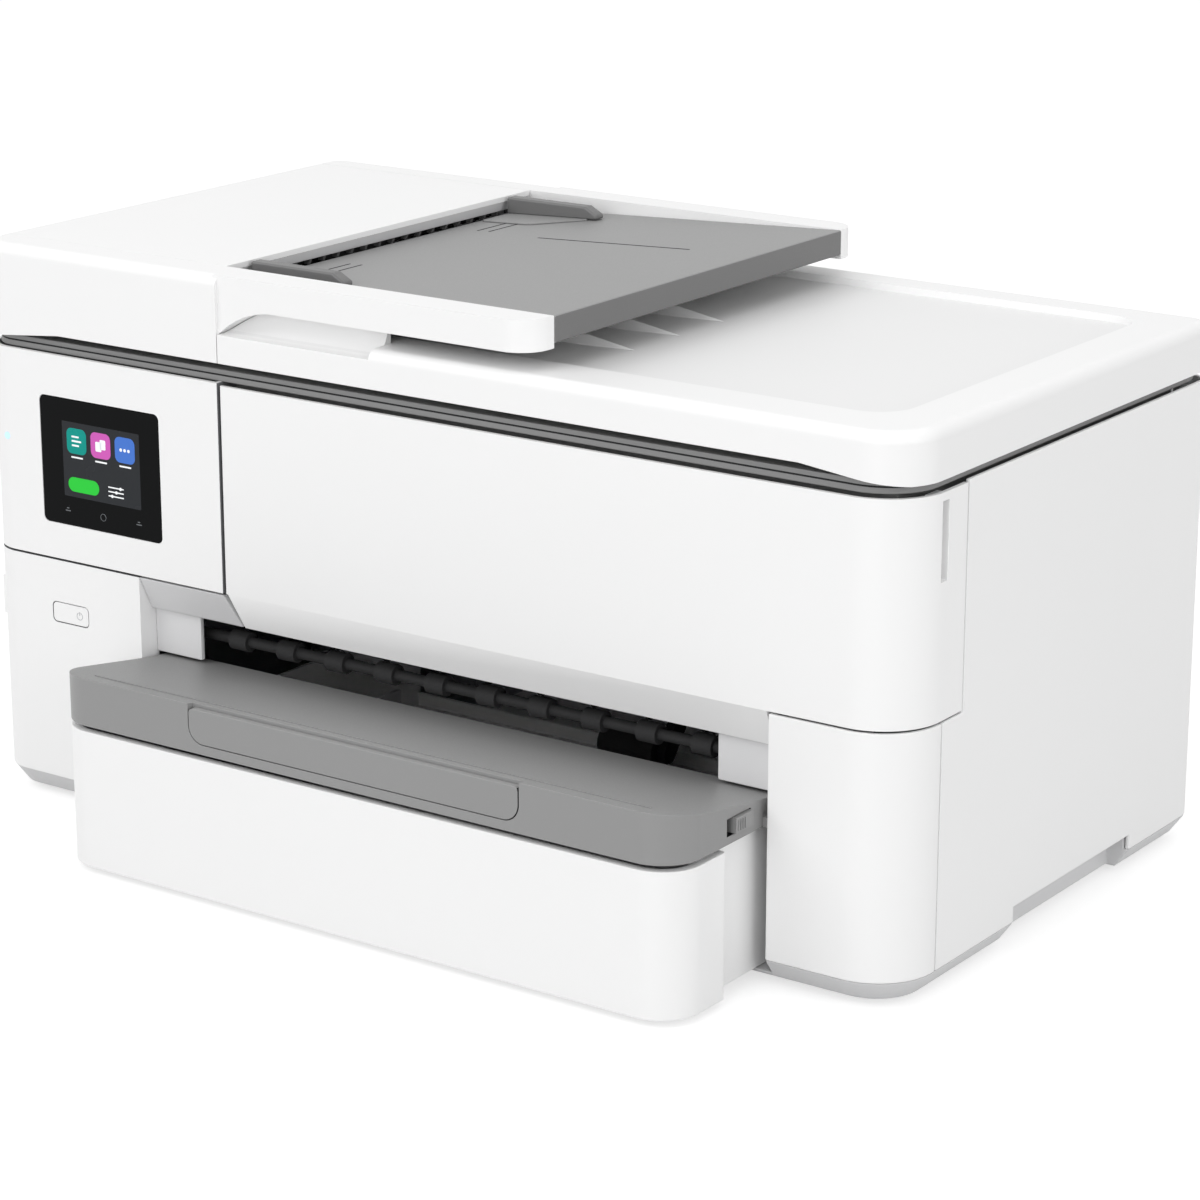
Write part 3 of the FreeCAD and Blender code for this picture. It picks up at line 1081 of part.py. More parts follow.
def build_feeder_tray(y0, y1):
    c = TOUCH_CLEAR
    t = FEED_TRAY_SKIN
    end = FEED_TRAY_END
    start = COVER_RIGHT_X
    floor = LID_DECK
    low_x = LID_SPLIT_X - SEAM - t
    outline = [(start, FEED_TRAY_LOW_TOP), (end, FEEDER_TOP), (end, FEED_TRAY_END_Z),
               (end - t, FEED_TRAY_END_Z),
               (end - t, tray_top_at(end - t) - t), (low_x, tray_top_at(low_x) - t), (low_x, floor),
               (start, floor)]
    save("feeder_tray", front_prism(outline, y0 + c, y1 - c))
    mid = (y0 + y1) / 2
    x0 = FEED_GUIDE_X0
    x1 = x0 + FEED_GUIDE_LEN
    nose = FEED_GUIDE_T
    profile = [(x0, tray_top_at(x0) + c), (x1, tray_top_at(x1) + c), (x1, tray_top_at(x1) + c + WALL),
               (x1 - nose, FEEDER_TOP), (x0, FEEDER_TOP)]
    half = FEED_GUIDE_PAPER / 2
    save("feeder_guide_front", front_prism(profile, mid - half - FEED_GUIDE_T, mid - half))
    save("feeder_guide_rear", front_prism(profile, mid + half, mid + half + FEED_GUIDE_T))


def build_screws():
    heads = []
    for x in (X_L + 2 * FOOT_INSET, X_R - 2 * FOOT_INSET):
        for y in (Y_FRONT + FOOT_INSET, (Y_FRONT + Y_BACK) / 2, Y_BACK - FOOT_INSET):
            heads.append(rod_z(FOOT_H - WALL / 2, FOOT_H, x, y, BOSS_R))
    save("base_screws", Part.makeCompound(heads))


build_base()
build_housings()
build_power_button()
build_side_panels()
build_rear()
build_sockets()
build_control_panel()
build_front_door()
build_exit()
build_output_tray()
build_cassette()
build_chassis()
build_carriage_drive()
build_carriage()
build_pick()
build_scanner()
build_lid()
build_feeder_housing()
build_screws()
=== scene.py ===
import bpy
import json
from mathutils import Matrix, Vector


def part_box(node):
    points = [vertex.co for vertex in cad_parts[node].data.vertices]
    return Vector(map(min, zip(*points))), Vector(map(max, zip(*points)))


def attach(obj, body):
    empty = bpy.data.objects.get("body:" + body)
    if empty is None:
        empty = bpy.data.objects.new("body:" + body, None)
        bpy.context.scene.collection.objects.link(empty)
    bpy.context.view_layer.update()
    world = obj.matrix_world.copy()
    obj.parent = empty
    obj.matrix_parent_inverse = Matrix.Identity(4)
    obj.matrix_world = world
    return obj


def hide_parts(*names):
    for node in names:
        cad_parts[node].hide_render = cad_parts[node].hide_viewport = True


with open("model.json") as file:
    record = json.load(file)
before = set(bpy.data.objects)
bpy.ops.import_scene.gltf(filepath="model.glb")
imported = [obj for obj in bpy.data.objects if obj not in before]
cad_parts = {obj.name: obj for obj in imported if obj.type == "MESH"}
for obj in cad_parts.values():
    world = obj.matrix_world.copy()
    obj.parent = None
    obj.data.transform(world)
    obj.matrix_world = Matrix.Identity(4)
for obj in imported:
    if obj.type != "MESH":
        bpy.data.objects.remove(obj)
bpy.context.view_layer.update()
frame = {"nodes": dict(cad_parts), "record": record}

import json
import math

import bmesh
import bpy
from bpy.props import FloatProperty, FloatVectorProperty, IntProperty, PointerProperty
from mathutils import Vector

bl_info = {
    "name": "Wide inkjet printer dressing",
    "version": (1, 0, 0),
    "blender": (4, 5, 0),
    "location": "View3D > Sidebar > Printer",
    "description": "Skins, finishes, small parts and stage of a wide inkjet printer with a document feeder",
    "category": "Object",
}

MM = 0.001
GLASS_LOW, GLASS_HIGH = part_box("screen_glass")
COVER_LOW, COVER_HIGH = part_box("feeder_cover")
SHEET_LOW, SHEET_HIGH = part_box("feeder_tray")
TRAY_LOW, TRAY_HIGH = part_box("output_tray")
BUTTON_LOW, BUTTON_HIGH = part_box("power_button")
SLOT_OF = {part["node"]: part["material_slot"] for part in frame["record"]["subparts"]}
BODY_OF = {node: body for body, nodes in frame["record"]["behaviour"]["bodies"].items() for node in nodes}

# Floor of the lid's sunk deck, and the height of the rim that shows under the lid.
DECK_FLOOR = SHEET_LOW.z - 4 * MM
RIM_HEIGHT = 6.6 * MM
# The line in the rim, painted black as painted shade in its groove, lies between these shares of its height,
# counted from the top.
RIM_LINE_TOP, RIM_LINE_FOOT = 0.40, 0.54
RIM_LINE_DEPTH = 0.5 * MM
# Height in mm of the feeder tray's sloping face at its low end, and its rise for each mm along it.
REST_LOW = 299.5
REST_RISE = (SHEET_HIGH.z / MM - REST_LOW) / (SHEET_HIGH.x / MM - SHEET_LOW.x / MM)
# The output tray's top falls to this height in mm over this run back from its front edge.
TRAY_REAR_TOP, TRAY_RUN = 95.5, 73.0
# The front door's lip is folded back along an edge between these heights.
DOOR_FOLD_LOW, DOOR_FOLD_HIGH = 137 * MM, 145 * MM
# Vents in the rear wall, in mm.
VENT_LEFT, VENT_FOOT, VENT_TOP = 20, 44, 76
VENT_WIDTH, VENT_PITCH, VENT_DEPTH, VENTS = 3, 7.5, 1.7, 15
# Margins of the lit panel inside the screen glass, and the gap round its tiles, in mm.
PANEL_LEFT, PANEL_RIGHT, PANEL_FOOT, PANEL_TOP = 15.6, 14.0, 16.3, 12.4
TILE_GAP = 3.2
# Engraved line and guide slots of the feeder tray, in mm; the slots are measured from its middle.
LINE_LEFT, LINE_RIGHT, LINE_Y = -66, 34, 87
GUIDE_SLOT_XS = (-104.0, -112.0)
GUIDE_SLOT_NEAR, GUIDE_SLOT_FAR, GUIDE_SLOT_HALF = 56, 96, 0.7
# Fins on the lid's deck, in mm.
FIN_YS = (-28.0, 13.0, 54.0)
FIN_LEFT, FIN_RIGHT, FIN_HALF, FIN_HEIGHT = -40, 79, 5.5, 4.6

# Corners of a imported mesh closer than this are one, and faces within this angle are one face.
MERGE = 0.002 * MM
FLAT = math.radians(0.3)
# Edges sharper than this get a bevel, and shading stays smooth up to the second angle.
SHARP = math.radians(35)
SMOOTH = math.radians(40)
# A face looks along an axis when its normal has more than this share there.
FACING = 0.9

# Noise scales for each m: broad patches about 83 mm wide, and smears about 17 mm wide.
PATCHES = 12.0
SMEARS = 60.0
# A noise keeps mostly to this span of 0 to 1, and gloss is spread over it.
NOISE_SPAN = {"From Min": 0.3, "From Max": 0.7}
GRAIN_DEPTH = 0.05 * MM
STREAK_LENGTH = 50 * MM
BOARD_UNIT = 10 * MM
# The deck's floor is painted a little darker than the shell's white, as painted shade in the sunk deck.
DECK_PAINTED_SHADE = 0.94

# Soft lamps: place in m, power in W and width in m.
LAMPS = {
    "key_lamp": ((-1.6, -2.2, 2.6), 36, 2.2),
    "top_lamp": ((0.4, 0.6, 2.8), 8, 2.4),
    "front_lamp": ((0.6, -3.0, 0.9), 24, 1.6),
    "side_lamp": ((2.8, -0.5, 1.0), 20, 1.8),
}
LAMP_AIM = Vector((0, 0, 0.12))
# The floor's own glow, where it is seen, brings its lit grey up to white.
FLOOR_GLOW = 0.64
FLOOR_GREY = (0.5, 0.5, 0.5, 1)
WORLD_LIGHT = 0.68
WHITE = (1, 1, 1, 1)
# Camera in m and degrees, which looks at the printer from its front right.
CAMERA_PLACE = (1.0871, -1.4961, 0.6849)
CAMERA_TILT, CAMERA_TURN = 73.26, 35.07
CAMERA_SENSOR, CAMERA_REACH = 36, 100


def linear(code):
    """An sRGB hex colour as linear red, green and blue."""
    parts = [int(code[i:i + 2], 16) / 255 for i in (0, 2, 4)]
    return tuple(v / 12.92 if v <= 0.04045 else ((v + 0.055) / 1.055) ** 2.4 for v in parts)


def tint(label, words, code):
    return FloatVectorProperty(name=label, description=words, subtype="COLOR", min=0, max=1,
                               default=linear(code))


def length(label, words, mm):
    return FloatProperty(name=label, description=words, default=mm * MM, min=0, unit="LENGTH", precision=5)


class PrinterFinishes(bpy.types.PropertyGroup):
    shell: tint("Shell", "White of the casing, the lid and the cassette", "F1F1F1")
    pale: tint("Pale trim", "Grey of the base and the exit bezel", "DADADB")
    tray: tint("Trays", "Grey of the output tray and the feeder tray", "8D8D8D")
    rim: tint("Scanner rim", "Grey of the strip under the lid", "7F7F7F")
    guide: tint("Guides", "Dark grey of the feeder's paper guides", "6A6A6A")
    black: tint("Black parts", "Black of the mechanism", "1A1B1C")
    glass: tint("Screen glass", "Black behind the touch glass", "060708")
    rose: tint("Rose tile", "Middle tile on the display", "C65BB0")
    sky: tint("Blue tile", "Right tile on the display", "4672C4")
    teal: tint("Teal tile", "Left tile on the display", "128C82")
    leaf: tint("Green pill", "Start pill on the display", "2DBE3C")
    slate: tint("Display ground", "Dark ground behind the display's tiles", "2A2C2F")
    glyph: tint("Marks", "Pale marks, captions and sliders on the display", "E6E8EA")


class PrinterSizes(bpy.types.PropertyGroup):
    edge: length("Shell edge", "Radius of a shell's moulded edges", 0.9)
    lid_edge: length("Lid edge", "Radius of the lid's and the feeder's softer edges", 1.4)
    fine_edge: length("Fine edge", "Radius of the edges of small parts", 0.4)
    grain: length("Moulded grain", "Width of one grain of the moulds' texture", 0.7)
    line: length("Engraved line", "Width of the line across the feeder tray", 1.6)
    ribs: IntProperty(name="Mouth ribs", description="Ribs along the feeder's mouth",
                      default=22, min=4, max=60)
    camera_lens: FloatProperty(name="Lens", description="Camera's focal length in mm", default=108.94, min=10)


def finishes():
    return bpy.context.scene.printer_finishes


def sizes():
    return bpy.context.scene.printer_sizes


def deselect():
    """Goes to object mode, with nothing selected."""
    if bpy.context.mode != "OBJECT":
        bpy.ops.object.mode_set(mode="OBJECT")
    bpy.ops.object.select_all(action="DESELECT")


def pick(*pieces):
    """Selects these objects alone; the last is the active one."""
    deselect()
    for piece in pieces:
        piece.select_set(True)
    bpy.context.view_layer.objects.active = pieces[-1]


def add_node(tree, kind, settings, links, place):
    """Adds a node, sets its properties and sockets, and links sockets from other nodes."""
    node = tree.nodes.new(kind)
    node.location = place
    for key, value in settings.items():
        if isinstance(key, str) and hasattr(node, key):
            setattr(node, key, value)
        else:
            node.inputs[key].default_value = value
    for key, (source, output) in links.items():
        tree.links.new(source.outputs[output], node.inputs[key])
    return node


def new_finish(name):
    """An empty node material with its surface shader and its output."""
    finish = bpy.data.materials.new(name)
    finish.use_nodes = True
    finish.node_tree.nodes.clear()
    tree = finish.node_tree
    shader = add_node(tree, "ShaderNodeBsdfPrincipled", {}, {}, (300, 0))
    add_node(tree, "ShaderNodeOutputMaterial", {}, {"Surface": (shader, "BSDF")}, (600, 0))
    return finish, tree, shader


def shade(colour, amount):
    """A linear colour made lighter or darker, with an alpha of 1."""
    return tuple(min(1.0, channel * amount) for channel in colour) + (1.0,)


def grain_finish(name, colour, grain, rough, relief, spread=0.03, shine=0.5):
    """Moulded plastic: an even colour, a fine eroded grain and slightly uneven gloss."""
    finish, tree, shader = new_finish(name)
    place = add_node(tree, "ShaderNodeTexCoord", {}, {}, (-900, 0))
    fine = add_node(tree, "ShaderNodeTexNoise", {"Scale": 1 / grain, "Detail": 2.0, "Roughness": 0.6},
                    {"Vector": (place, "Object")}, (-650, 0))
    broad = add_node(tree, "ShaderNodeTexNoise", {"Scale": PATCHES, "Detail": 2.0},
                     {"Vector": (place, "Object")}, (-650, -300))
    tone = add_node(tree, "ShaderNodeMix",
                    {"data_type": "RGBA", 6: shade(colour, 1 - spread), 7: shade(colour, 1 + spread)},
                    {0: (broad, "Fac")}, (-350, 150))
    gloss = add_node(tree, "ShaderNodeMapRange",
                     {**NOISE_SPAN, "To Min": rough - 0.05, "To Max": rough + 0.05},
                     {"Value": (fine, "Fac")}, (-350, -100))
    bump = add_node(tree, "ShaderNodeBump", {"Strength": relief, "Distance": GRAIN_DEPTH},
                    {"Height": (fine, "Fac")}, (-100, -300))
    shader.inputs["IOR"].default_value = 1.5
    shader.inputs["Specular IOR Level"].default_value = shine
    tree.links.new(tone.outputs[2], shader.inputs["Base Color"])
    tree.links.new(gloss.outputs["Result"], shader.inputs["Roughness"])
    tree.links.new(bump.outputs["Normal"], shader.inputs["Normal"])
    return finish


def plain_finish(name, colour, rough, ior=1.5, glow=0.0, shine=0.5):
    """A smooth surface with faint handling marks in its gloss."""
    finish, tree, shader = new_finish(name)
    place = add_node(tree, "ShaderNodeTexCoord", {}, {}, (-900, 0))
    smear = add_node(tree, "ShaderNodeTexNoise", {"Scale": SMEARS, "Detail": 3.0},
                     {"Vector": (place, "Object")}, (-650, 0))
    gloss = add_node(tree, "ShaderNodeMapRange",
                     {**NOISE_SPAN, "To Min": max(0.02, rough - 0.02), "To Max": rough + 0.03},
                     {"Value": (smear, "Fac")}, (-350, -100))
    tone = add_node(tree, "ShaderNodeMix",
                    {"data_type": "RGBA", 6: shade(colour, 0.97), 7: shade(colour, 1.03)},
                    {0: (smear, "Fac")}, (-350, 150))
    shader.inputs["IOR"].default_value = ior
    shader.inputs["Specular IOR Level"].default_value = shine
    if glow:
        shader.inputs["Emission Color"].default_value = tuple(colour) + (1.0,)
        shader.inputs["Emission Strength"].default_value = glow
    tree.links.new(tone.outputs[2], shader.inputs["Base Color"])
    tree.links.new(gloss.outputs["Result"], shader.inputs["Roughness"])
    return finish


def metal_finish(name, colour, rough, spacing, along):
    """Ground or plated metal: fine streaks that run along one axis."""
    finish, tree, shader = new_finish(name)
    place = add_node(tree, "ShaderNodeTexCoord", {}, {}, (-1100, 0))
    stretch = [1 / spacing] * 3
    stretch["XYZ".index(along)] = 1 / STREAK_LENGTH
    lay = add_node(tree, "ShaderNodeMapping", {"Scale": stretch}, {"Vector": (place, "Object")}, (-900, 0))
    streak = add_node(tree, "ShaderNodeTexNoise", {"Scale": 1.0, "Detail": 3.0},
                      {"Vector": (lay, "Vector")}, (-650, 0))
    tone = add_node(tree, "ShaderNodeMix",
                    {"data_type": "RGBA", 6: shade(colour, 0.88), 7: shade(colour, 1.08)},
                    {0: (streak, "Fac")}, (-350, 150))
    gloss = add_node(tree, "ShaderNodeMapRange",
                     {**NOISE_SPAN, "To Min": rough - 0.06, "To Max": rough + 0.1},
                     {"Value": (streak, "Fac")}, (-350, -100))
    shader.inputs["Metallic"].default_value = 1.0
    tree.links.new(tone.outputs[2], shader.inputs["Base Color"])
    tree.links.new(gloss.outputs["Result"], shader.inputs["Roughness"])
    return finish


def clear_finish(name, colour, rough):
    """Clear sheet: light passes through it, with a faint edge tint."""
    finish, tree, shader = new_finish(name)
    place = add_node(tree, "ShaderNodeTexCoord", {}, {}, (-700, 0))
    smear = add_node(tree, "ShaderNodeTexNoise", {"Scale": 40.0, "Detail": 2.0},
                     {"Vector": (place, "Object")}, (-450, 0))
    gloss = add_node(tree, "ShaderNodeMapRange", {"To Min": rough, "To Max": rough + 0.04},
                     {"Value": (smear, "Fac")}, (-200, -100))
    shader.inputs["Base Color"].default_value = tuple(colour) + (1.0,)
    shader.inputs["Transmission Weight"].default_value = 0.9
    shader.inputs["IOR"].default_value = 1.52
    tree.links.new(gloss.outputs["Result"], shader.inputs["Roughness"])
    return finish


def board_finish(name):
    """Circuit board: green solder mask with paler tracks, drawn on a grid of 5 by 2.5 mm."""
    finish, tree, shader = new_finish(name)
    place = add_node(tree, "ShaderNodeTexCoord", {}, {}, (-900, 0))
    mask = {"Color1": shade(linear("0E5A34"), 1), "Color2": shade(linear("0B4D2C"), 1),
            "Mortar": shade(linear("3B8A4E"), 1)}
    grid = {"Scale": 1 / BOARD_UNIT, "Mortar Size": 0.03, "Brick Width": 0.5, "Row Height": 0.25}
    tracks = add_node(tree, "ShaderNodeTexBrick", {**grid, **mask},
                      {"Vector": (place, "Object")}, (-500, 100))
    shader.inputs["Roughness"].default_value = 0.35
    tree.links.new(tracks.outputs["Color"], shader.inputs["Base Color"])
    return finish


def build_finishes():
    """One material for each of the printer's real materials, keyed by the record's slots."""
    look, size = finishes(), sizes()
    deck = shade(look.shell, DECK_PAINTED_SHADE)[:3]
    return {
        # Moulded ABS with an eroded grain of about 0.3 mm, drawn at 0.7 mm so that it shows:
        # even colours with a soft broad gloss.
        "white_shell": grain_finish("moulded_abs_white", look.shell, size.grain, 0.42, 0.12, 0.006),
        "light_grey": grain_finish("moulded_abs_pale_grey", look.pale, size.grain, 0.45, 0.15, 0.01),
        "mid_grey": grain_finish("moulded_abs_tray_grey", look.tray, size.grain, 0.46, 0.3, 0.02),
        "rim_grey": grain_finish("moulded_abs_rim_grey", look.rim, size.grain, 0.5, 0.2, 0.02),
        # The sunk deck's floor: the shell's white painted darker, as painted shade.
        "recess_white": grain_finish("moulded_abs_deck_white", deck, size.grain, 0.55, 0.12, 0.006),
        # The walls of a seam get little light, so their plastic is drawn darker than the shell.
        "seam_shadow": grain_finish("moulded_abs_seam_shadow", linear("77787A"), size.grain, 0.6, 0.1,
                                    0.02, 0.1),
        "dark_grey": grain_finish("moulded_abs_dark_grey", look.guide, size.grain, 0.42, 0.25, 0.02),
        # Glass-filled black plastic of the mechanism: matt, with a faint flow grain.
        "black_plastic": grain_finish("moulded_black_pbt", look.black, 1.2 * MM, 0.55, 0.3, 0.05, 0.2),
        # Cover glass with a black print behind it: smooth and deep black, with a faint reflection.
        "black_glass": plain_finish("touch_cover_glass", look.glass, 0.07, 1.5, 0.0, 0.07),
        # Float glass of the scanner's bed: clear, with a faint green tint.
        "bed_glass": clear_finish("float_glass", linear("E6F2EE"), 0.0),
        # Cast rubber: dull, with dust in its grain.
        "rubber": grain_finish("cast_rubber", linear("2A2A2B"), 0.9 * MM, 0.78, 0.5, 0.08),
        # Ground bars and zinc-plated sheet: bright metal with fine streaks across the printer.
        "steel": metal_finish("ground_steel", linear("C3C5C7"), 0.28, 0.6 * MM, "X"),
        "chassis_metal": metal_finish("zinc_plated_steel", linear("AEB1B4"), 0.4, 4 * MM, "X"),
        "board_green": board_finish("circuit_board"),
        # Moulded belt: black rubber, less dull than the rollers.
        "belt_rubber": grain_finish("belt_rubber", linear("18181A"), 1.0 * MM, 0.65, 0.5, 0.08),
        # Ink tanks: near-black moulded plastic with a soft gloss.
        "ink_shell": grain_finish("moulded_ink_tank", linear("26272A"), 1.0 * MM, 0.38, 0.2, 0.03),
        # Clear polycarbonate in front of a lamp: pale blue with a weak light of its own.
        "light_pipe": plain_finish("light_pipe_polycarbonate", linear("BFE3FA"), 0.2, 1.58, 0.25),
    }


FINISH = {}


def finish_for(slot):
    """The material of one of the record's slots; all are made when the first is asked for."""
    if not FINISH:
        FINISH.update(build_finishes())
    return FINISH[slot]


def dress(piece, finish):
    """Gives a piece one finish all over."""
    piece.data.materials.clear()
    piece.data.materials.append(finish)
    return piece


def corners(node):
    """A node's lowest and highest corners in mm."""
    return [[value / MM for value in corner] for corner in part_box(node)]


def rest_height(x):
    """Height of the feeder tray's sloping face above one X, both in mm."""
    return REST_LOW + (x - SHEET_LOW.x / MM) * REST_RISE


def edit(piece):
    """Opens one piece in edit mode, with nothing selected."""
    pick(piece)
    bpy.ops.object.mode_set(mode="EDIT")
    bpy.ops.mesh.select_all(action="DESELECT")


def leave():
    """Goes back to object mode."""
    bpy.ops.object.mode_set(mode="OBJECT")


def choose(piece, kind, test):
    """In edit mode, selects the vertices, edges or faces for which test is true."""
    bpy.ops.mesh.select_all(action="DESELECT")
    bpy.ops.mesh.select_mode(type={"verts": "VERT", "edges": "EDGE", "faces": "FACE"}[kind])
    mesh = bmesh.from_edit_mesh(piece.data)
    found = [item for item in getattr(mesh, kind) if test(item)]
    if not found:
        raise RuntimeError(piece.name + ": nothing was selected")
    for item in found:
        item.select_set(True)
    bmesh.update_edit_mesh(piece.data)


def spot(face):
    """The middle of a face."""
    return face.calc_center_median()


def middle(edge):
    """The middle of an edge."""
    return (edge.verts[0].co + edge.verts[1].co) / 2


def runs_along(edge, axis):
    """Whether an edge is parallel to X, Y or Z."""
    step = edge.verts[1].co - edge.verts[0].co
    return step.length > 0 and abs(step[axis]) > 0.999 * step.length


def block(name, low, high):
    """A box between two corners given in mm."""
    deselect()
    centre = [(a + b) / 2 * MM for a, b in zip(low, high)]
    bpy.ops.mesh.primitive_cube_add(size=1, location=centre)
    piece = bpy.context.object
    piece.name = name
    piece.scale = [abs(b - a) * MM for a, b in zip(low, high)]
    bpy.ops.object.transform_apply(location=True, rotation=True, scale=True)
    return piece


def rounded(name, low, high, corner, axis=1, steps=6):
    """A box whose edges along one axis are rounded."""
    piece = block(name, low, high)
    edit(piece)
    choose(piece, "edges", lambda e: runs_along(e, axis))
    bpy.ops.mesh.bevel(offset=corner * MM, segments=steps, affect="EDGES")
    leave()
    return piece


def ring(centre, radius, wire, segments):
    """A round ring that faces the front, with its sizes in mm."""
    deselect()
    bpy.ops.mesh.primitive_torus_add(major_radius=radius * MM, minor_radius=wire * MM,
                                     major_segments=segments, minor_segments=6,
                                     location=[c * MM for c in centre], rotation=(math.pi / 2, 0, 0))
    bpy.ops.object.transform_apply(location=True, rotation=True, scale=True)
    return bpy.context.object


def soften(piece, radius, steps=2, crease=None):
    """Rounds the sharp edges with a bevel and shades the piece smooth between them and its creases."""
    pick(piece)
    bpy.ops.object.modifier_add(type="BEVEL")
    cut = piece.modifiers[-1]
    cut.width = radius
    cut.segments = steps
    cut.limit_method = "ANGLE"
    cut.angle_limit = SHARP
    cut.use_clamp_overlap = True
    bpy.ops.object.modifier_apply(modifier=cut.name)
    bpy.ops.object.shade_smooth_by_angle(angle=SMOOTH)
    if crease:
        edit(piece)
        choose(piece, "edges", crease)
        bpy.ops.mesh.mark_sharp()
        leave()
    bpy.ops.object.modifier_add(type="WEIGHTED_NORMAL")
    even = piece.modifiers[-1]
    even.keep_sharp = True
    bpy.ops.object.modifier_apply(modifier=even.name)
    return piece


def lean_back(piece, x, z, step):
    """Moves a piece's lower right corners to the left, all in mm."""
    edit(piece)
    choose(piece, "verts", lambda v: v.co.x > x * MM and v.co.z < z * MM)
    bpy.ops.transform.translate(value=(-step * MM, 0, 0))
    leave()


def lift_points(piece, height):
    """Raises each corner of a piece by a height in mm that is worked out from its place."""
    for corner in piece.data.vertices:
        corner.co.z += height(corner.co) * MM


def twin(piece, shift):
    """A copy with its own mesh, moved by a step in mm."""
    pick(piece)
    bpy.ops.object.duplicate()
    copy = bpy.context.object
    copy.location = [s * MM for s in shift]
    bpy.ops.object.transform_apply(location=True, rotation=True, scale=True)
    return copy


def line_up(first, count, step):
    """A piece and its copies, each one step in mm further on."""
    return [first] + [twin(first, [s * index for s in step]) for index in range(1, count)]


def join(name, parts):
    """Makes one object of several, which keep their own finishes."""
    pick(*parts)
    if len(parts) > 1:
        bpy.ops.object.join()
    piece = bpy.context.object
    piece.name = name
    return piece


def place(piece, body, slot, finish=None):
    """Gives a finished piece its finish, taken from its slot when none is given, and the body that it moves
    with.
    """
    dress(piece, finish or finish_for(slot))
    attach(piece, body)


def paint(piece, finish, test):
    """Gives the faces for which test is true another finish."""
    piece.data.materials.append(finish)
    edit(piece)
    choose(piece, "faces", test)
    piece.active_material_index = len(piece.data.materials) - 1
    bpy.ops.object.material_slot_assign()
    leave()


def cut_with(piece, cutter):
    """Cuts one piece's shape out of another, and removes the cutter."""
    pick(piece)
    bpy.ops.object.modifier_add(type="BOOLEAN")
    tool = piece.modifiers[-1]
    tool.operation = "DIFFERENCE"
    tool.solver = "EXACT"
    tool.object = cutter
    bpy.ops.object.modifier_apply(modifier=tool.name)
    pick(cutter)
    bpy.ops.object.delete()


def reach(face, low, high, spare):
    """Whether all of a face lies in a box with some room to spare."""
    return all(low[i] - spare <= corner.co[i] <= high[i] + spare for corner in face.verts for i in range(3))


def groove_rim(rim, box):
    """Presses a line into the outer wall of the strip under the lid and paints it black, as painted shade in
    the groove.
    """
    low, high = box
    centre = (low + high) / 2
    for share in (RIM_LINE_TOP, RIM_LINE_FOOT):
        edit(rim)
        bpy.ops.mesh.select_all(action="SELECT")
        bpy.ops.mesh.bisect(plane_co=(0, 0, high.z - share * RIM_HEIGHT), plane_no=(0, 0, 1))
        leave()

    def outer(face):
        out = spot(face) - centre
        share = (high.z - spot(face).z) / RIM_HEIGHT
        away = face.normal.x * out.x + face.normal.y * out.y
        return RIM_LINE_TOP < share < RIM_LINE_FOOT and abs(face.normal.z) < 0.3 and away > 0

    # The groove's faces are painted black, as painted shade.
    paint(rim, finish_for("black_plastic"), outer)
    edit(rim)
    choose(rim, "faces", outer)
    bpy.ops.transform.shrink_fatten(value=-RIM_LINE_DEPTH)
    leave()


def skin_of(node, radius, steps=2, finish=None, crease=None, cutter=None):
    """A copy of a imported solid, with merged corners and rounded edges, that stands for it."""
    source = frame["nodes"][node]
    pick(source)
    bpy.ops.object.duplicate()
    piece = bpy.context.object
    for key in [k for k in piece.keys() if k.startswith("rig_")]:
        del piece[key]
    piece.parent = None
    piece.name = node + "_skin"
    edit(piece)
    bpy.ops.mesh.select_all(action="SELECT")
    bpy.ops.mesh.remove_doubles(threshold=MERGE)
    bpy.ops.mesh.dissolve_limited(angle_limit=FLAT)
    leave()
    bpy.ops.mesh.customdata_custom_splitnormals_clear()
    if cutter:
        cut_with(piece, cutter)
    soften(piece, radius, steps, crease=crease)
    place(piece, BODY_OF[node], SLOT_OF[node], finish)
    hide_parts(node)
    return piece


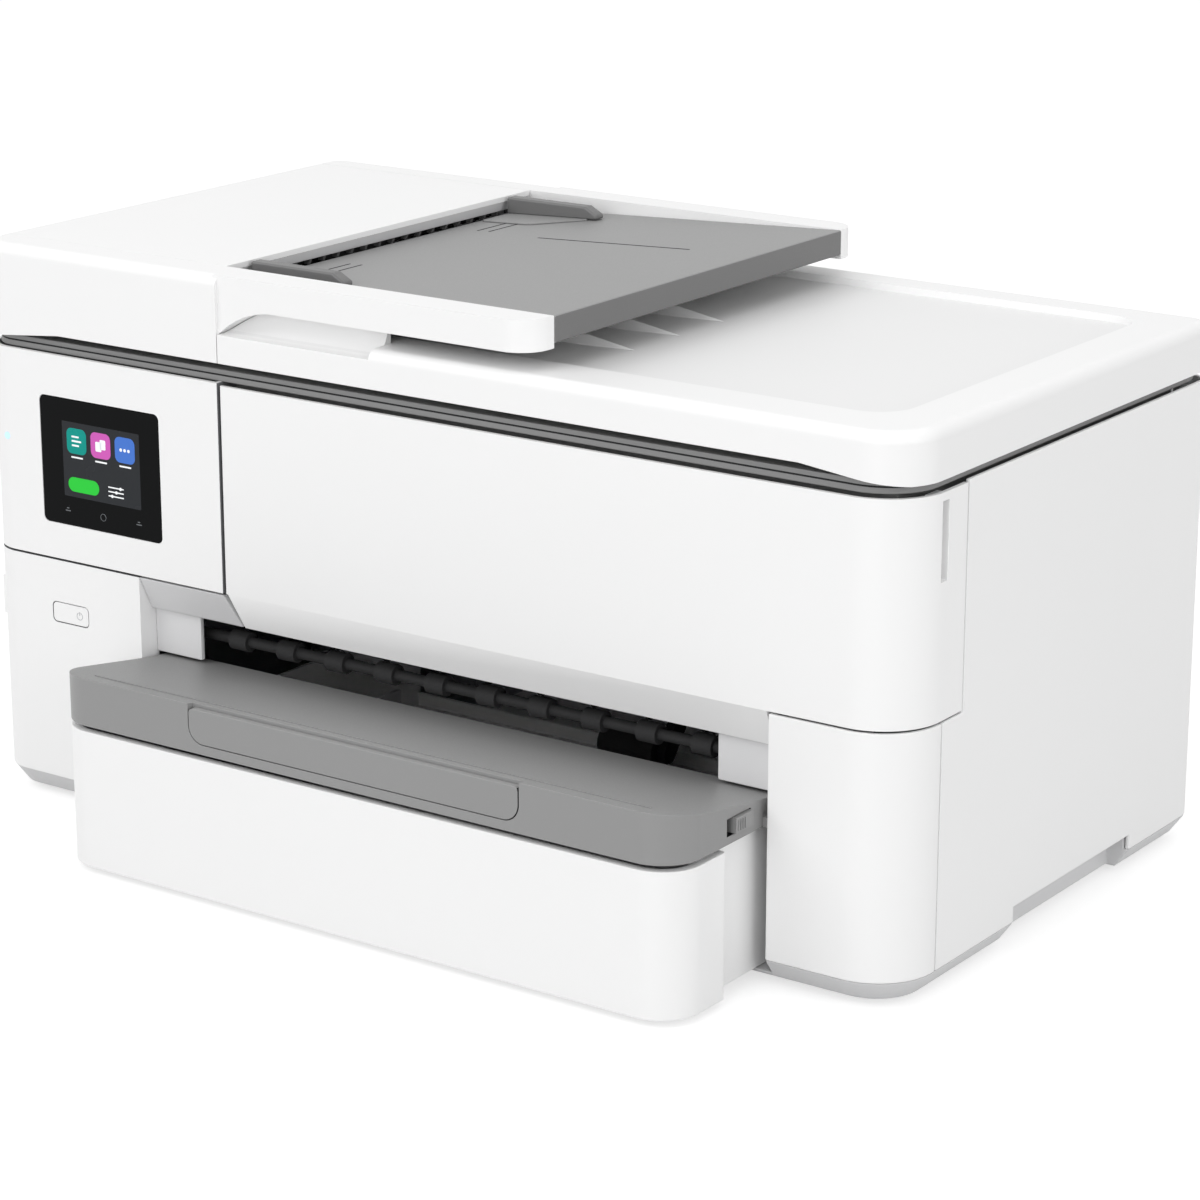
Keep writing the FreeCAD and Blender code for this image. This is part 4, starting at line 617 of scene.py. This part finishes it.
class PRINTER_OT_shells(bpy.types.Operator):
    """White casing, lid and cassette with rounded moulded edges"""
    bl_idname = "printer.shells"
    bl_label = "Casing shells"

    def execute(self, context):
        edge, soft = sizes().edge, sizes().lid_edge
        black, gap = finish_for("black_plastic"), finish_for("seam_shadow")
        for node in ("right_housing", "left_side_panel", "right_side_panel", "input_tray", "rear_door"):
            skin_of(node, edge)
        # Walls of the seams between the panel, the housing, the button and the door lie in their own shade.
        housing = skin_of("left_housing", edge)
        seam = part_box("left_housing")[1].z
        paint(housing, gap, lambda f: f.normal.z > FACING and spot(f).z > seam - 0.3 * MM
              or reach(f, BUTTON_LOW, BUTTON_HIGH, 0.9 * MM) and abs(f.normal.y) < 0.5)
        low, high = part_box("control_panel")
        panel = skin_of("control_panel", edge)
        paint(panel, gap, lambda f: f.normal.z < -FACING and spot(f).z < low.z + 30 * MM
              or f.normal.x > FACING and spot(f).x > high.x - 12 * MM)

        # The door's lower lip leans back from the front, and the line between them stays crisp.
        def fold(line):
            return (runs_along(line, 0) and line.calc_face_angle(0) > math.radians(15)
                    and DOOR_FOLD_LOW < middle(line).z < DOOR_FOLD_HIGH)

        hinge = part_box("front_door")[0].x
        door = skin_of("front_door", edge, crease=fold)
        # The door's left edge is painted with the seam's painted shade.
        paint(door, gap, lambda f: f.normal.x < -FACING and spot(f).x < hinge + 3 * MM)
        self.vent_rear(0.5 * edge, black)
        lid = skin_of("scanner_lid", soft, 3)
        # The floor of the sunk deck is painted a little darker than the shell, as painted shade.
        paint(lid, finish_for("recess_white"),
              lambda f: f.normal.z > FACING and abs(spot(f).z - DECK_FLOOR) < 0.4 * MM)
        # The feeder housing is painted black inside its mouth, as painted shade.
        housing = skin_of("feeder_housing", soft, 3)
        mouth_low = COVER_LOW + Vector((4, 1, -30)) * MM
        mouth_high = COVER_HIGH + Vector((13, -1, -2)) * MM
        paint(housing, black, lambda f: reach(f, mouth_low, mouth_high, 0))
        cover = skin_of("feeder_cover", soft, 3)
        # The cover's underside is painted black, as painted shade in the mouth.
        paint(cover, black, lambda f: f.normal.z < -0.5)
        for node in ("base_pan", "exit_bezel"):
            skin_of(node, edge)
        rim = skin_of("scanner_base", edge, 2, finish_for("rim_grey"))
        groove_rim(rim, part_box("scanner_base"))
        return {"FINISHED"}

    def vent_rear(self, edge, black):
        """The rear wall with its vents, which are pockets whose floors are painted black as painted shade, so
        that no daylight shows.
        """
        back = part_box("rear_panel")[1].y / MM
        first = rounded("vent_slot", (VENT_LEFT, back - VENT_DEPTH, VENT_FOOT),
                        (VENT_LEFT + VENT_WIDTH, back + 8, VENT_TOP), 1.4)
        slots = line_up(first, VENTS, (VENT_PITCH, 0, 0))
        right = VENT_LEFT + VENT_WIDTH + VENT_PITCH * (VENTS - 1)
        low = Vector((VENT_LEFT, back - 2 * VENT_DEPTH, VENT_FOOT)) * MM
        high = Vector((right, back, VENT_TOP)) * MM
        rear = skin_of("rear_panel", edge, cutter=join("vent_slots", slots))
        # The vents' floors are painted black, as painted shade.
        paint(rear, black, lambda f: f.normal.y > FACING and spot(f).y < (back - 1.2) * MM
              and reach(f, low, high, 2 * MM))


class PRINTER_OT_trays(bpy.types.Operator):
    """Grey output tray, its extension and catch, and the feeder's tray and guides"""
    bl_idname = "printer.trays"
    bl_label = "Trays and guides"

    def execute(self, context):
        edge, fine = sizes().edge, sizes().fine_edge
        tray = skin_of("output_tray", 1.2 * edge, 3)
        low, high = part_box("tray_latch")
        # The pocket round the catch is painted black, as painted shade.
        paint(tray, finish_for("black_plastic"),
              lambda f: reach(f, low, high, 6 * MM) and spot(f).x < high.x - 2.2 * MM)
        # The line round the extension is the wall of its gap, painted black as painted shade.
        pull = skin_of("output_extension", 1.5 * edge, 3)
        paint(pull, finish_for("black_plastic"), lambda f: f.normal.z < -0.3 or abs(f.normal.x) > 0.6)
        rest = skin_of("feeder_tray", edge, 3)
        # The tray's right end face is painted dark grey, as painted shade.
        paint(rest, finish_for("dark_grey"),
              lambda f: f.normal.x > 0.7 and spot(f).x > SHEET_HIGH.x - 2 * MM)
        for node in ("feeder_guide_front", "feeder_guide_rear"):
            skin_of(node, 2.4 * edge, 4)
        for node in ("tray_latch", "power_button", "screen_glass"):
            skin_of(node, fine)
        return {"FINISHED"}


class PRINTER_OT_display(bpy.types.Operator):
    """Lit tiles, bars and touch keys on the screen glass"""
    bl_idname = "printer.display"
    bl_label = "Display"

    def execute(self, context):
        look = finishes()
        face = GLASS_LOW.y / MM
        left, right = GLASS_LOW.x / MM + PANEL_LEFT, GLASS_HIGH.x / MM - PANEL_RIGHT
        low, high = GLASS_LOW.z / MM + PANEL_FOOT, GLASS_HIGH.z / MM - PANEL_TOP
        wide = right - left
        # A lit panel behind glass: each colour gives its own light, with a little gloss over it.
        glows = {"rose": 0.15, "sky": 0.15, "teal": 0.15, "leaf": 0.2, "slate": 0.08, "glyph": 0.25}
        lit = {tone: plain_finish("lit_" + tone, getattr(look, tone), 0.25, 1.5, glow, 0.1)
               for tone, glow in glows.items()}
        pale = lit["glyph"]

        def sheet(name, x0, x1, z0, z1, corner, layer, finish):
            piece = rounded(name, (x0, face - 0.08 * layer, z0), (x1, face + 0.1, z1), corner)
            return dress(soften(piece, 0.03 * MM, 1), finish)

        parts = [sheet("panel_ground", left, right, low, high, 0.6, 1, lit["slate"])]
        tile = (wide - 4 * TILE_GAP) / 3
        top = high - TILE_GAP
        foot = top - tile
        row = top - tile / 2
        for index, tone in enumerate(("teal", "rose", "sky")):
            x0 = left + TILE_GAP + index * (tile + TILE_GAP)
            mid = x0 + tile / 2
            parts.append(sheet("tile_" + tone, x0, x0 + tile, foot, top, 3.4, 2, lit[tone]))
            if tone == "teal":
                for step in (-1, 0, 1):
                    z = row + 2.4 * step
                    end = mid + 3.4 - 1.6 * abs(step)
                    parts.append(sheet("bar", mid - 3.4, end, z - 0.5, z + 0.5, 0.4, 3, pale))
            elif tone == "rose":
                parts.append(sheet("page", mid - 3.6, mid + 0.6, row - 3.4, row + 2.0, 0.7, 3, pale))
                parts.append(sheet("page", mid - 0.4, mid + 3.6, row - 2.0, row + 3.4, 0.7, 3, pale))
            else:
                for step in (-1, 0, 1):
                    x = mid + 2.7 * step
                    parts.append(sheet("dot", x - 0.9, x + 0.9, row - 0.9, row + 0.9, 0.85, 3, pale))
            parts.append(sheet("caption", mid - 4.2, mid + 4.2, foot - 2.4, foot - 1.5, 0.4, 2, pale))
        parts.append(sheet("start_pill", left + TILE_GAP, left + 0.46 * wide, low + 3.0, low + 11.0,
                           3.9, 2, lit["leaf"]))
        x0 = left + 0.58 * wide
        for index in range(3):
            z0 = low + 4.2 + 2.4 * index
            knob = x0 + 2.0 + 3.0 * index
            parts.append(sheet("slider", x0, x0 + 11.0, z0, z0 + 0.7, 0.3, 2, pale))
            parts.append(sheet("knob", knob, knob + 1.6, z0 - 0.5, z0 + 1.2, 0.7, 3, pale))
        panel = join("display_tiles", parts)
        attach(panel, "printer")

        # Screen-printed keys: a faint grey on the black glass.
        key_ink = plain_finish("key_print", linear("5A5D61"), 0.3)
        keys = []
        base = GLASS_LOW.z / MM + 8.0
        for index, x in enumerate((left + 2.0, (left + right) / 2, right - 2.0)):
            if index == 1:
                keys.append(dress(ring((x, face - 0.02, base), 1.9, 0.2, 28), key_ink))
            else:
                keys.append(sheet("key", x - 1.9, x + 1.9, base - 0.3, base + 0.3, 0.25, 1, key_ink))
                keys.append(sheet("key", x - 0.9, x + 0.9, base + 1.1, base + 1.7, 0.25, 1, key_ink))
        marks = join("touch_keys", keys)
        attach(marks, "printer")
        return {"FINISHED"}


class PRINTER_OT_button_mark(bpy.types.Operator):
    """Ring and bar printed on the power button"""
    bl_idname = "printer.button_mark"
    bl_label = "Power mark"

    def execute(self, context):
        x, z = BUTTON_HIGH.x / MM - 6.2, (BUTTON_LOW.z + BUTTON_HIGH.z) / 2 / MM
        face = BUTTON_LOW.y / MM
        # The ring is open at its top, where the bar stands.
        loop = ring((x, face + 0.15, z), 2.0, 0.28, 32)
        edit(loop)
        choose(loop, "faces", lambda f: spot(f).z > (z + 1.2) * MM and abs(spot(f).x - x * MM) < 0.9 * MM)
        bpy.ops.mesh.delete(type="FACE")
        bpy.ops.mesh.select_all(action="SELECT")
        bpy.ops.mesh.fill_holes(sides=12)
        leave()
        bar = rounded("bar", (x - 0.26, face - 0.12, z + 0.4), (x + 0.26, face + 0.2, z + 2.5), 0.24)
        mark = join("power_mark", [soften(bar, 0.05 * MM, 1), loop])
        # Pad-printed ink: a flat pale grey on the white button.
        place(mark, "power_button", "light_grey", plain_finish("print_ink_grey", linear("B4B6B9"), 0.4))
        return {"FINISHED"}


class PRINTER_OT_feeder_details(bpy.types.Operator):
    """Mouth ribs, tray grooves and deck fins round the document feeder"""
    bl_idname = "printer.feeder_details"
    bl_label = "Feeder details"

    def execute(self, context):
        edge_x, top = COVER_HIGH.x / MM, COVER_HIGH.z / MM
        front, rear = COVER_LOW.y / MM, COVER_HIGH.y / MM
        lip = block("mouth_lip", (edge_x - 4.0, front + 5, top - 8.6), (edge_x - 0.2, rear - 5, top - 2.6))
        lean_back(lip, edge_x - 2, top - 5, 2.6)
        place(soften(lip, 0.35 * MM), "feeder_cover", "light_grey")
        count = sizes().ribs
        pitch = (rear - front - 14) / count
        rib = block("mouth_rib", (edge_x - 9.0, front + 7, top - 12.0),
                    (edge_x - 2.6, front + 9.2, top - 2.9))
        lean_back(rib, edge_x - 5, top - 6, 3.2)
        ribs = line_up(soften(rib, 0.3 * MM), count, (0, pitch, 0))
        place(join("mouth_ribs", ribs), "feeder_cover", "dark_grey")
        self.groove_tray((front + rear) / 2)
        self.fin_deck()
        return {"FINISHED"}

    def groove_tray(self, middle_y):
        """Dark line and guide slots that follow the feeder tray's slope."""
        def groove(name, x0, x1, y0, y1):
            piece = rounded(name, (x0, y0, -0.3), (x1, y1, 0.06), min(x1 - x0, y1 - y0) * 0.49, 2, 4)
            edit(piece)
            bpy.ops.mesh.select_all(action="SELECT")
            bpy.ops.mesh.subdivide(number_cuts=1)
            leave()
            lift_points(piece, lambda co: rest_height(co.x / MM))
            return soften(piece, 0.04 * MM, 1)

        half = sizes().line / MM / 2
        marks = [groove("long_groove", LINE_LEFT, LINE_RIGHT, LINE_Y - half, LINE_Y + half)]
        for side in (-1, 1):
            y0, y1 = sorted((middle_y + side * GUIDE_SLOT_FAR, middle_y + side * GUIDE_SLOT_NEAR))
            for x in GUIDE_SLOT_XS:
                marks.append(groove("guide_slot", x - GUIDE_SLOT_HALF, x + GUIDE_SLOT_HALF, y0, y1))
        # Shaded plastic: the foot of a groove gets no light, so it is near black and has no gloss.
        dark = plain_finish("groove_shadow", linear("2C2D2F"), 0.6, 1.5, 0.0, 0.1)
        place(join("tray_grooves", marks), "lid", "dark_grey", dark)

    def fin_deck(self):
        """Fins with sharp backs on the lid's deck, which run out to nothing at their right ends."""
        floor = DECK_FLOOR / MM
        fins = []
        for y in FIN_YS:
            fin = block("deck_fin", (FIN_LEFT, y - FIN_HALF, floor - 0.4),
                        (FIN_RIGHT, y + FIN_HALF, floor + FIN_HEIGHT))
            edit(fin)
            choose(fin, "faces", lambda f: f.normal.z > FACING)
            bpy.ops.transform.resize(value=(1, 0.08, 1))
            choose(fin, "edges", lambda e: runs_along(e, 0))
            bpy.ops.mesh.subdivide(number_cuts=3)
            choose(fin, "verts", lambda v: v.co.x > (FIN_RIGHT - 1) * MM)
            bpy.ops.transform.resize(value=(1, 0.04, 0.02),
                                     center_override=(FIN_RIGHT * MM, y * MM, (floor - 0.3) * MM))
            leave()
            fins.append(soften(fin, 0.8 * MM, 3))
        place(join("deck_fins", fins), "lid", "white_shell")


class PRINTER_OT_tray_details(bpy.types.Operator):
    """Raised line along the output tray's lip and grip ribs on its catch"""
    bl_idname = "printer.tray_details"
    bl_label = "Tray details"

    def execute(self, context):
        front, peak = TRAY_LOW.y / MM, TRAY_HIGH.z / MM
        slope = (TRAY_REAR_TOP - peak) / TRAY_RUN
        y0 = front + 10.0
        ridge = rounded("lip_ridge", (TRAY_LOW.x / MM + 24, y0, 0), (TRAY_HIGH.x / MM - 24, y0 + 1.6, 0.9),
                        0.75, 2, 4)
        lift_points(ridge, lambda co: peak + slope * (co.y / MM - front) - 0.35)
        place(soften(ridge, 0.2 * MM), "printer", "mid_grey")
        low, high = corners("tray_latch")
        rib = rounded("catch_rib", (high[0] - 0.5, low[1] + 1.5, low[2] + 1.2),
                      (high[0] + 0.5, low[1] + 2.3, high[2] - 1.2), 0.35, 0, 3)
        ribs = line_up(soften(rib, 0.15 * MM), 4, (0, 1.9, 0))
        place(join("catch_ribs", ribs), "tray_latch", "mid_grey")
        return {"FINISHED"}


class PRINTER_OT_guide_plates(bpy.types.Operator):
    """Thin plates at the feet of the feeder's guides, which the paper slides on"""
    bl_idname = "printer.guide_plates"
    bl_label = "Guide plates"

    def execute(self, context):
        for node, side in (("feeder_guide_front", 1), ("feeder_guide_rear", -1)):
            low, high = corners(node)
            wall = high[1] if side > 0 else low[1]
            inner = wall + side * 26.0
            plate = block("guide_plate", (low[0] + 1, min(wall, inner), 0.1),
                          (high[0] - 4, max(wall, inner), 0.9))
            edit(plate)
            # The inner corner at the right is drawn back, so that the plate tapers.
            choose(plate, "verts", lambda v: abs(v.co.y / MM - inner) < 1 and v.co.x / MM > high[0] - 10)
            bpy.ops.transform.translate(value=(-24 * MM, 0, 0))
            choose(plate, "edges", lambda e: runs_along(e, 2))
            bpy.ops.mesh.bevel(offset=3 * MM, segments=5, affect="EDGES")
            leave()
            lift_points(plate, lambda co: rest_height(co.x / MM))
            plate.name = node + "_plate"
            place(soften(plate, 0.25 * MM), node, "dark_grey", finish_for("mid_grey"))
        return {"FINISHED"}


class PRINTER_OT_scanner_bed(bpy.types.Operator):
    """Scale strips round the glass and the feeder's own scan window"""
    bl_idname = "printer.scanner_bed"
    bl_label = "Scanner bed"

    def execute(self, context):
        low, high = corners("scanner_glass")
        left, front, right, rear, top = low[0], low[1], high[0], high[1], high[2]
        under, over = top - 0.2, top + 0.25
        strips = [rounded("scale", (left - 11, front - 11, under), (left - 0.5, rear + 11, over), 1.5, 2, 4),
                  rounded("scale", (left + 0.5, rear + 0.5, under), (right + 8, rear + 11, over), 1.5, 2, 4)]
        strips = [soften(strip, 0.08 * MM, 1) for strip in strips]
        place(join("bed_scale", strips), "printer", "white_shell")
        # One tick for each 10 mm, along the left strip and then along the rear one.
        pitch, tall = 10, top + 0.32
        first = block("tick", (left - 5.0, front + 4, top), (left - 1.2, front + 4.4, tall))
        ticks = line_up(first, int((rear - front - 8) / pitch) + 1, (0, pitch, 0))
        first = block("tick", (left + 10, rear + 1.2, top), (left + 10.4, rear + 5.0, tall))
        ticks += line_up(first, int((right - left - 12) / pitch) + 1, (pitch, 0, 0))
        scale = soften(join("bed_ticks", ticks), 0.05 * MM, 1)
        # Screen-printed ink: flat dark grey on the white strips.
        place(scale, "printer", "dark_grey", plain_finish("printed_scale_ink", linear("4A4C4F"), 0.5))
        head_low, head_high = corners("scan_head")
        window = rounded("feeder_scan_window", (head_low[0] + 9, front + 4, top - 0.3),
                         (head_high[0] - 9, rear - 4, top + 0.2), 1.2, 2, 4)
        place(soften(window, 0.1 * MM), "printer", "black_glass")
        return {"FINISHED"}


class PRINTER_OT_ink_tabs(bpy.types.Operator):
    """Coloured grips on the four ink cartridges"""
    bl_idname = "printer.ink_tabs"
    bl_label = "Ink grips"

    def execute(self, context):
        low, high = corners("ink_cartridges")
        front, top = low[1], high[2]
        wall, rim = corners("carriage")
        pitch = (high[0] - low[0] - 22.0) / 3
        inks = (("black", "2B2C2E"), ("yellow", "E3C51F"), ("magenta", "C22F74"), ("cyan", "1E8FC4"))
        for index, (name, code) in enumerate(inks):
            x = low[0] + index * pitch
            label = rounded("ink_label", (x + 3, wall[1] - 0.8, rim[2] - 22),
                            (x + 19, wall[1] + 0.4, rim[2] - 6), 2.5)
            soften(label, 0.3 * MM)
            cap = rounded("ink_cap", (x + 5.2, front - 0.3, top - 4.5),
                          (x + 16.8, front + 5.3, top + 0.3), 1.5)
            soften(cap, 0.4 * MM)
            rib = rounded("cap_rib", (x + 6.5, front - 0.7, top - 3.6), (x + 15.5, front, top - 2.9), 0.3)
            ribs = line_up(soften(rib, 0.15 * MM), 3, (0, 0, 1.3))
            # Dyed polypropylene: the grip tells the ink by its colour, with a soft waxy gloss.
            dye = grain_finish("dyed_polypropylene_" + name, linear(code), 0.8 * MM, 0.4, 0.15, 0.02)
            place(join("ink_grip_" + name, [label, cap] + ribs), "carriage_unit", "ink_shell", dye)
        return {"FINISHED"}


class PRINTER_OT_rear_details(bpy.types.Operator):
    """Contacts in the sockets and grip ribs on the rear door"""
    bl_idname = "printer.rear_details"
    bl_label = "Rear details"

    def execute(self, context):
        low, high = corners("rear_door")
        mid = (low[0] + high[0]) / 2
        rib = rounded("door_rib", (mid - 26, high[1] - 0.6, high[2] - 9),
                      (mid + 26, high[1], high[2] - 7.6), 0.6)
        ribs = line_up(soften(rib, 0.25 * MM), 4, (0, 0, -3.2))
        place(join("rear_door_ribs", ribs), "rear_door", "white_shell", finish_for("light_grey"))
        low, high = corners("port_block")
        back, front = high[1] - 3.0, high[1] - 8.0
        # Four contacts for the one socket and eight finer ones for the other.
        wide = block("contact", (low[0] + 6.0, front, low[2] + 4.0), (low[0] + 6.9, back, low[2] + 4.8))
        fine = block("contact", (high[0] - 16.0, front, high[2] - 6.0), (high[0] - 15.4, back, high[2] - 5.4))
        pins = join("port_contacts", line_up(wide, 4, (2.2, 0, 0)) + line_up(fine, 8, (1.3, 0, 0)))
        # Gold plating: warm and bright, with fine streaks along the contacts.
        gold = metal_finish("gold_plated_contacts", linear("D9B45A"), 0.25, 0.6 * MM, "Y")
        place(soften(pins, 0.08 * MM, 1), "printer", "steel", gold)
        return {"FINISHED"}


FINE_PARTS = ("carriage", "printhead", "ink_cartridges", "lid_inner_panel", "lid_backing_pad", "scan_head",
              "paper_guide_left", "paper_guide_right", "length_guide", "service_station", "pick_arm",
              "platen", "port_block", "power_inlet", "lid_hinges", "exit_roller_shaft", "star_wheel_bar",
              "feeder_pick_roller", "pick_roller", "feet")


class PRINTER_OT_works(bpy.types.Operator):
    """Fine edges and finishes for the parts of the mechanism"""
    bl_idname = "printer.works"
    bl_label = "Mechanism"

    def execute(self, context):
        for node in FINE_PARTS:
            skin_of(node, sizes().fine_edge)
        for node, solid in frame["nodes"].items():
            if not solid.hide_render:
                dress(solid, finish_for(SLOT_OF[node]))
        return {"FINISHED"}


def background_rays(tree):
    """A value of 1 for the rays that show the background, straight, in a mirror or through glass."""
    path = add_node(tree, "ShaderNodeLightPath", {}, {}, (-900, 0))
    seen = add_node(tree, "ShaderNodeMath", {"operation": "MAXIMUM"},
                    {0: (path, "Is Camera Ray"), 1: (path, "Is Glossy Ray")}, (-700, 0))
    return add_node(tree, "ShaderNodeMath", {"operation": "MAXIMUM"},
                    {0: (seen, 0), 1: (path, "Is Transmission Ray")}, (-500, 0))


class PRINTER_OT_stage(bpy.types.Operator):
    """Pale floor, soft lamps and the camera"""
    bl_idname = "printer.stage"
    bl_label = "Stage"

    def execute(self, context):
        scene = context.scene
        scene.view_settings.view_transform = "Standard"
        deselect()
        bpy.ops.mesh.primitive_plane_add(size=30, location=(0, 0, -0.5 * MM))
        floor = bpy.context.object
        floor.name = "floor"
        # Studio paper: white where it is seen, and grey to the light that it throws back.
        paper = bpy.data.materials.new("floor_paper")
        paper.use_nodes = True
        tree = paper.node_tree
        tree.nodes.clear()
        shown = background_rays(tree)
        glow = add_node(tree, "ShaderNodeMath", {"operation": "MULTIPLY", 1: FLOOR_GLOW},
                        {0: (shown, 0)}, (-300, 0))
        lift = add_node(tree, "ShaderNodeEmission", {"Color": WHITE}, {"Strength": (glow, 0)}, (-100, 0))
        matt = add_node(tree, "ShaderNodeBsdfDiffuse", {"Color": FLOOR_GREY}, {}, (-100, -200))
        both = add_node(tree, "ShaderNodeAddShader", {}, {0: (lift, 0), 1: (matt, 0)}, (100, 0))
        add_node(tree, "ShaderNodeOutputMaterial", {}, {"Surface": (both, 0)}, (300, 0))
        dress(floor, paper)

        world = bpy.data.worlds.new("studio")
        scene.world = world
        world.use_nodes = True
        tree = world.node_tree
        tree.nodes.clear()
        shown = background_rays(tree)
        level = add_node(tree, "ShaderNodeMapRange", {"To Min": WORLD_LIGHT, "To Max": 1.0},
                         {"Value": (shown, 0)}, (-300, 0))
        sky = add_node(tree, "ShaderNodeBackground", {"Color": WHITE}, {"Strength": (level, "Result")},
                       (-100, 0))
        add_node(tree, "ShaderNodeOutputWorld", {}, {"Surface": (sky, 0)}, (100, 0))

        for name, (point, power, width) in LAMPS.items():
            lamp = bpy.data.lights.new(name, "AREA")
            lamp.energy = power
            lamp.size = width
            holder = bpy.data.objects.new(name, lamp)
            scene.collection.objects.link(holder)
            holder.location = point
            holder.rotation_euler = (LAMP_AIM - Vector(point)).to_track_quat("-Z", "Y").to_euler()

        eye = bpy.data.cameras.new("camera")
        eye.lens = sizes().camera_lens
        eye.sensor_width = CAMERA_SENSOR
        eye.clip_end = CAMERA_REACH
        stand = bpy.data.objects.new("camera", eye)
        scene.collection.objects.link(stand)
        stand.location = CAMERA_PLACE
        stand.rotation_euler = (math.radians(CAMERA_TILT), 0, math.radians(CAMERA_TURN))
        scene.camera = stand
        return {"FINISHED"}


OPERATORS = (PRINTER_OT_shells, PRINTER_OT_trays, PRINTER_OT_display, PRINTER_OT_button_mark,
             PRINTER_OT_feeder_details, PRINTER_OT_tray_details, PRINTER_OT_guide_plates,
             PRINTER_OT_scanner_bed, PRINTER_OT_ink_tabs, PRINTER_OT_rear_details, PRINTER_OT_works,
             PRINTER_OT_stage)


class PRINTER_PT_panel(bpy.types.Panel):
    bl_label = "Inkjet printer"
    bl_idname = "PRINTER_PT_panel"
    bl_space_type = "VIEW_3D"
    bl_region_type = "UI"
    bl_category = "Printer"

    def draw(self, context):
        column = self.layout.column()
        for group in (context.scene.printer_finishes, context.scene.printer_sizes):
            for key in group.__annotations__:
                column.prop(group, key)
        for operator in OPERATORS:
            column.operator(operator.bl_idname)


CLASSES = (PrinterFinishes, PrinterSizes) + OPERATORS + (PRINTER_PT_panel,)


def register():
    for item in CLASSES:
        bpy.utils.register_class(item)
    bpy.types.Scene.printer_finishes = PointerProperty(type=PrinterFinishes)
    bpy.types.Scene.printer_sizes = PointerProperty(type=PrinterSizes)


def unregister():
    del bpy.types.Scene.printer_sizes
    del bpy.types.Scene.printer_finishes
    for item in reversed(CLASSES):
        bpy.utils.unregister_class(item)


def main():
    register()
    for operator in OPERATORS:
        group, name = operator.bl_idname.split(".")
        getattr(getattr(bpy.ops, group), name)()


if __name__ == "__main__":
    main()
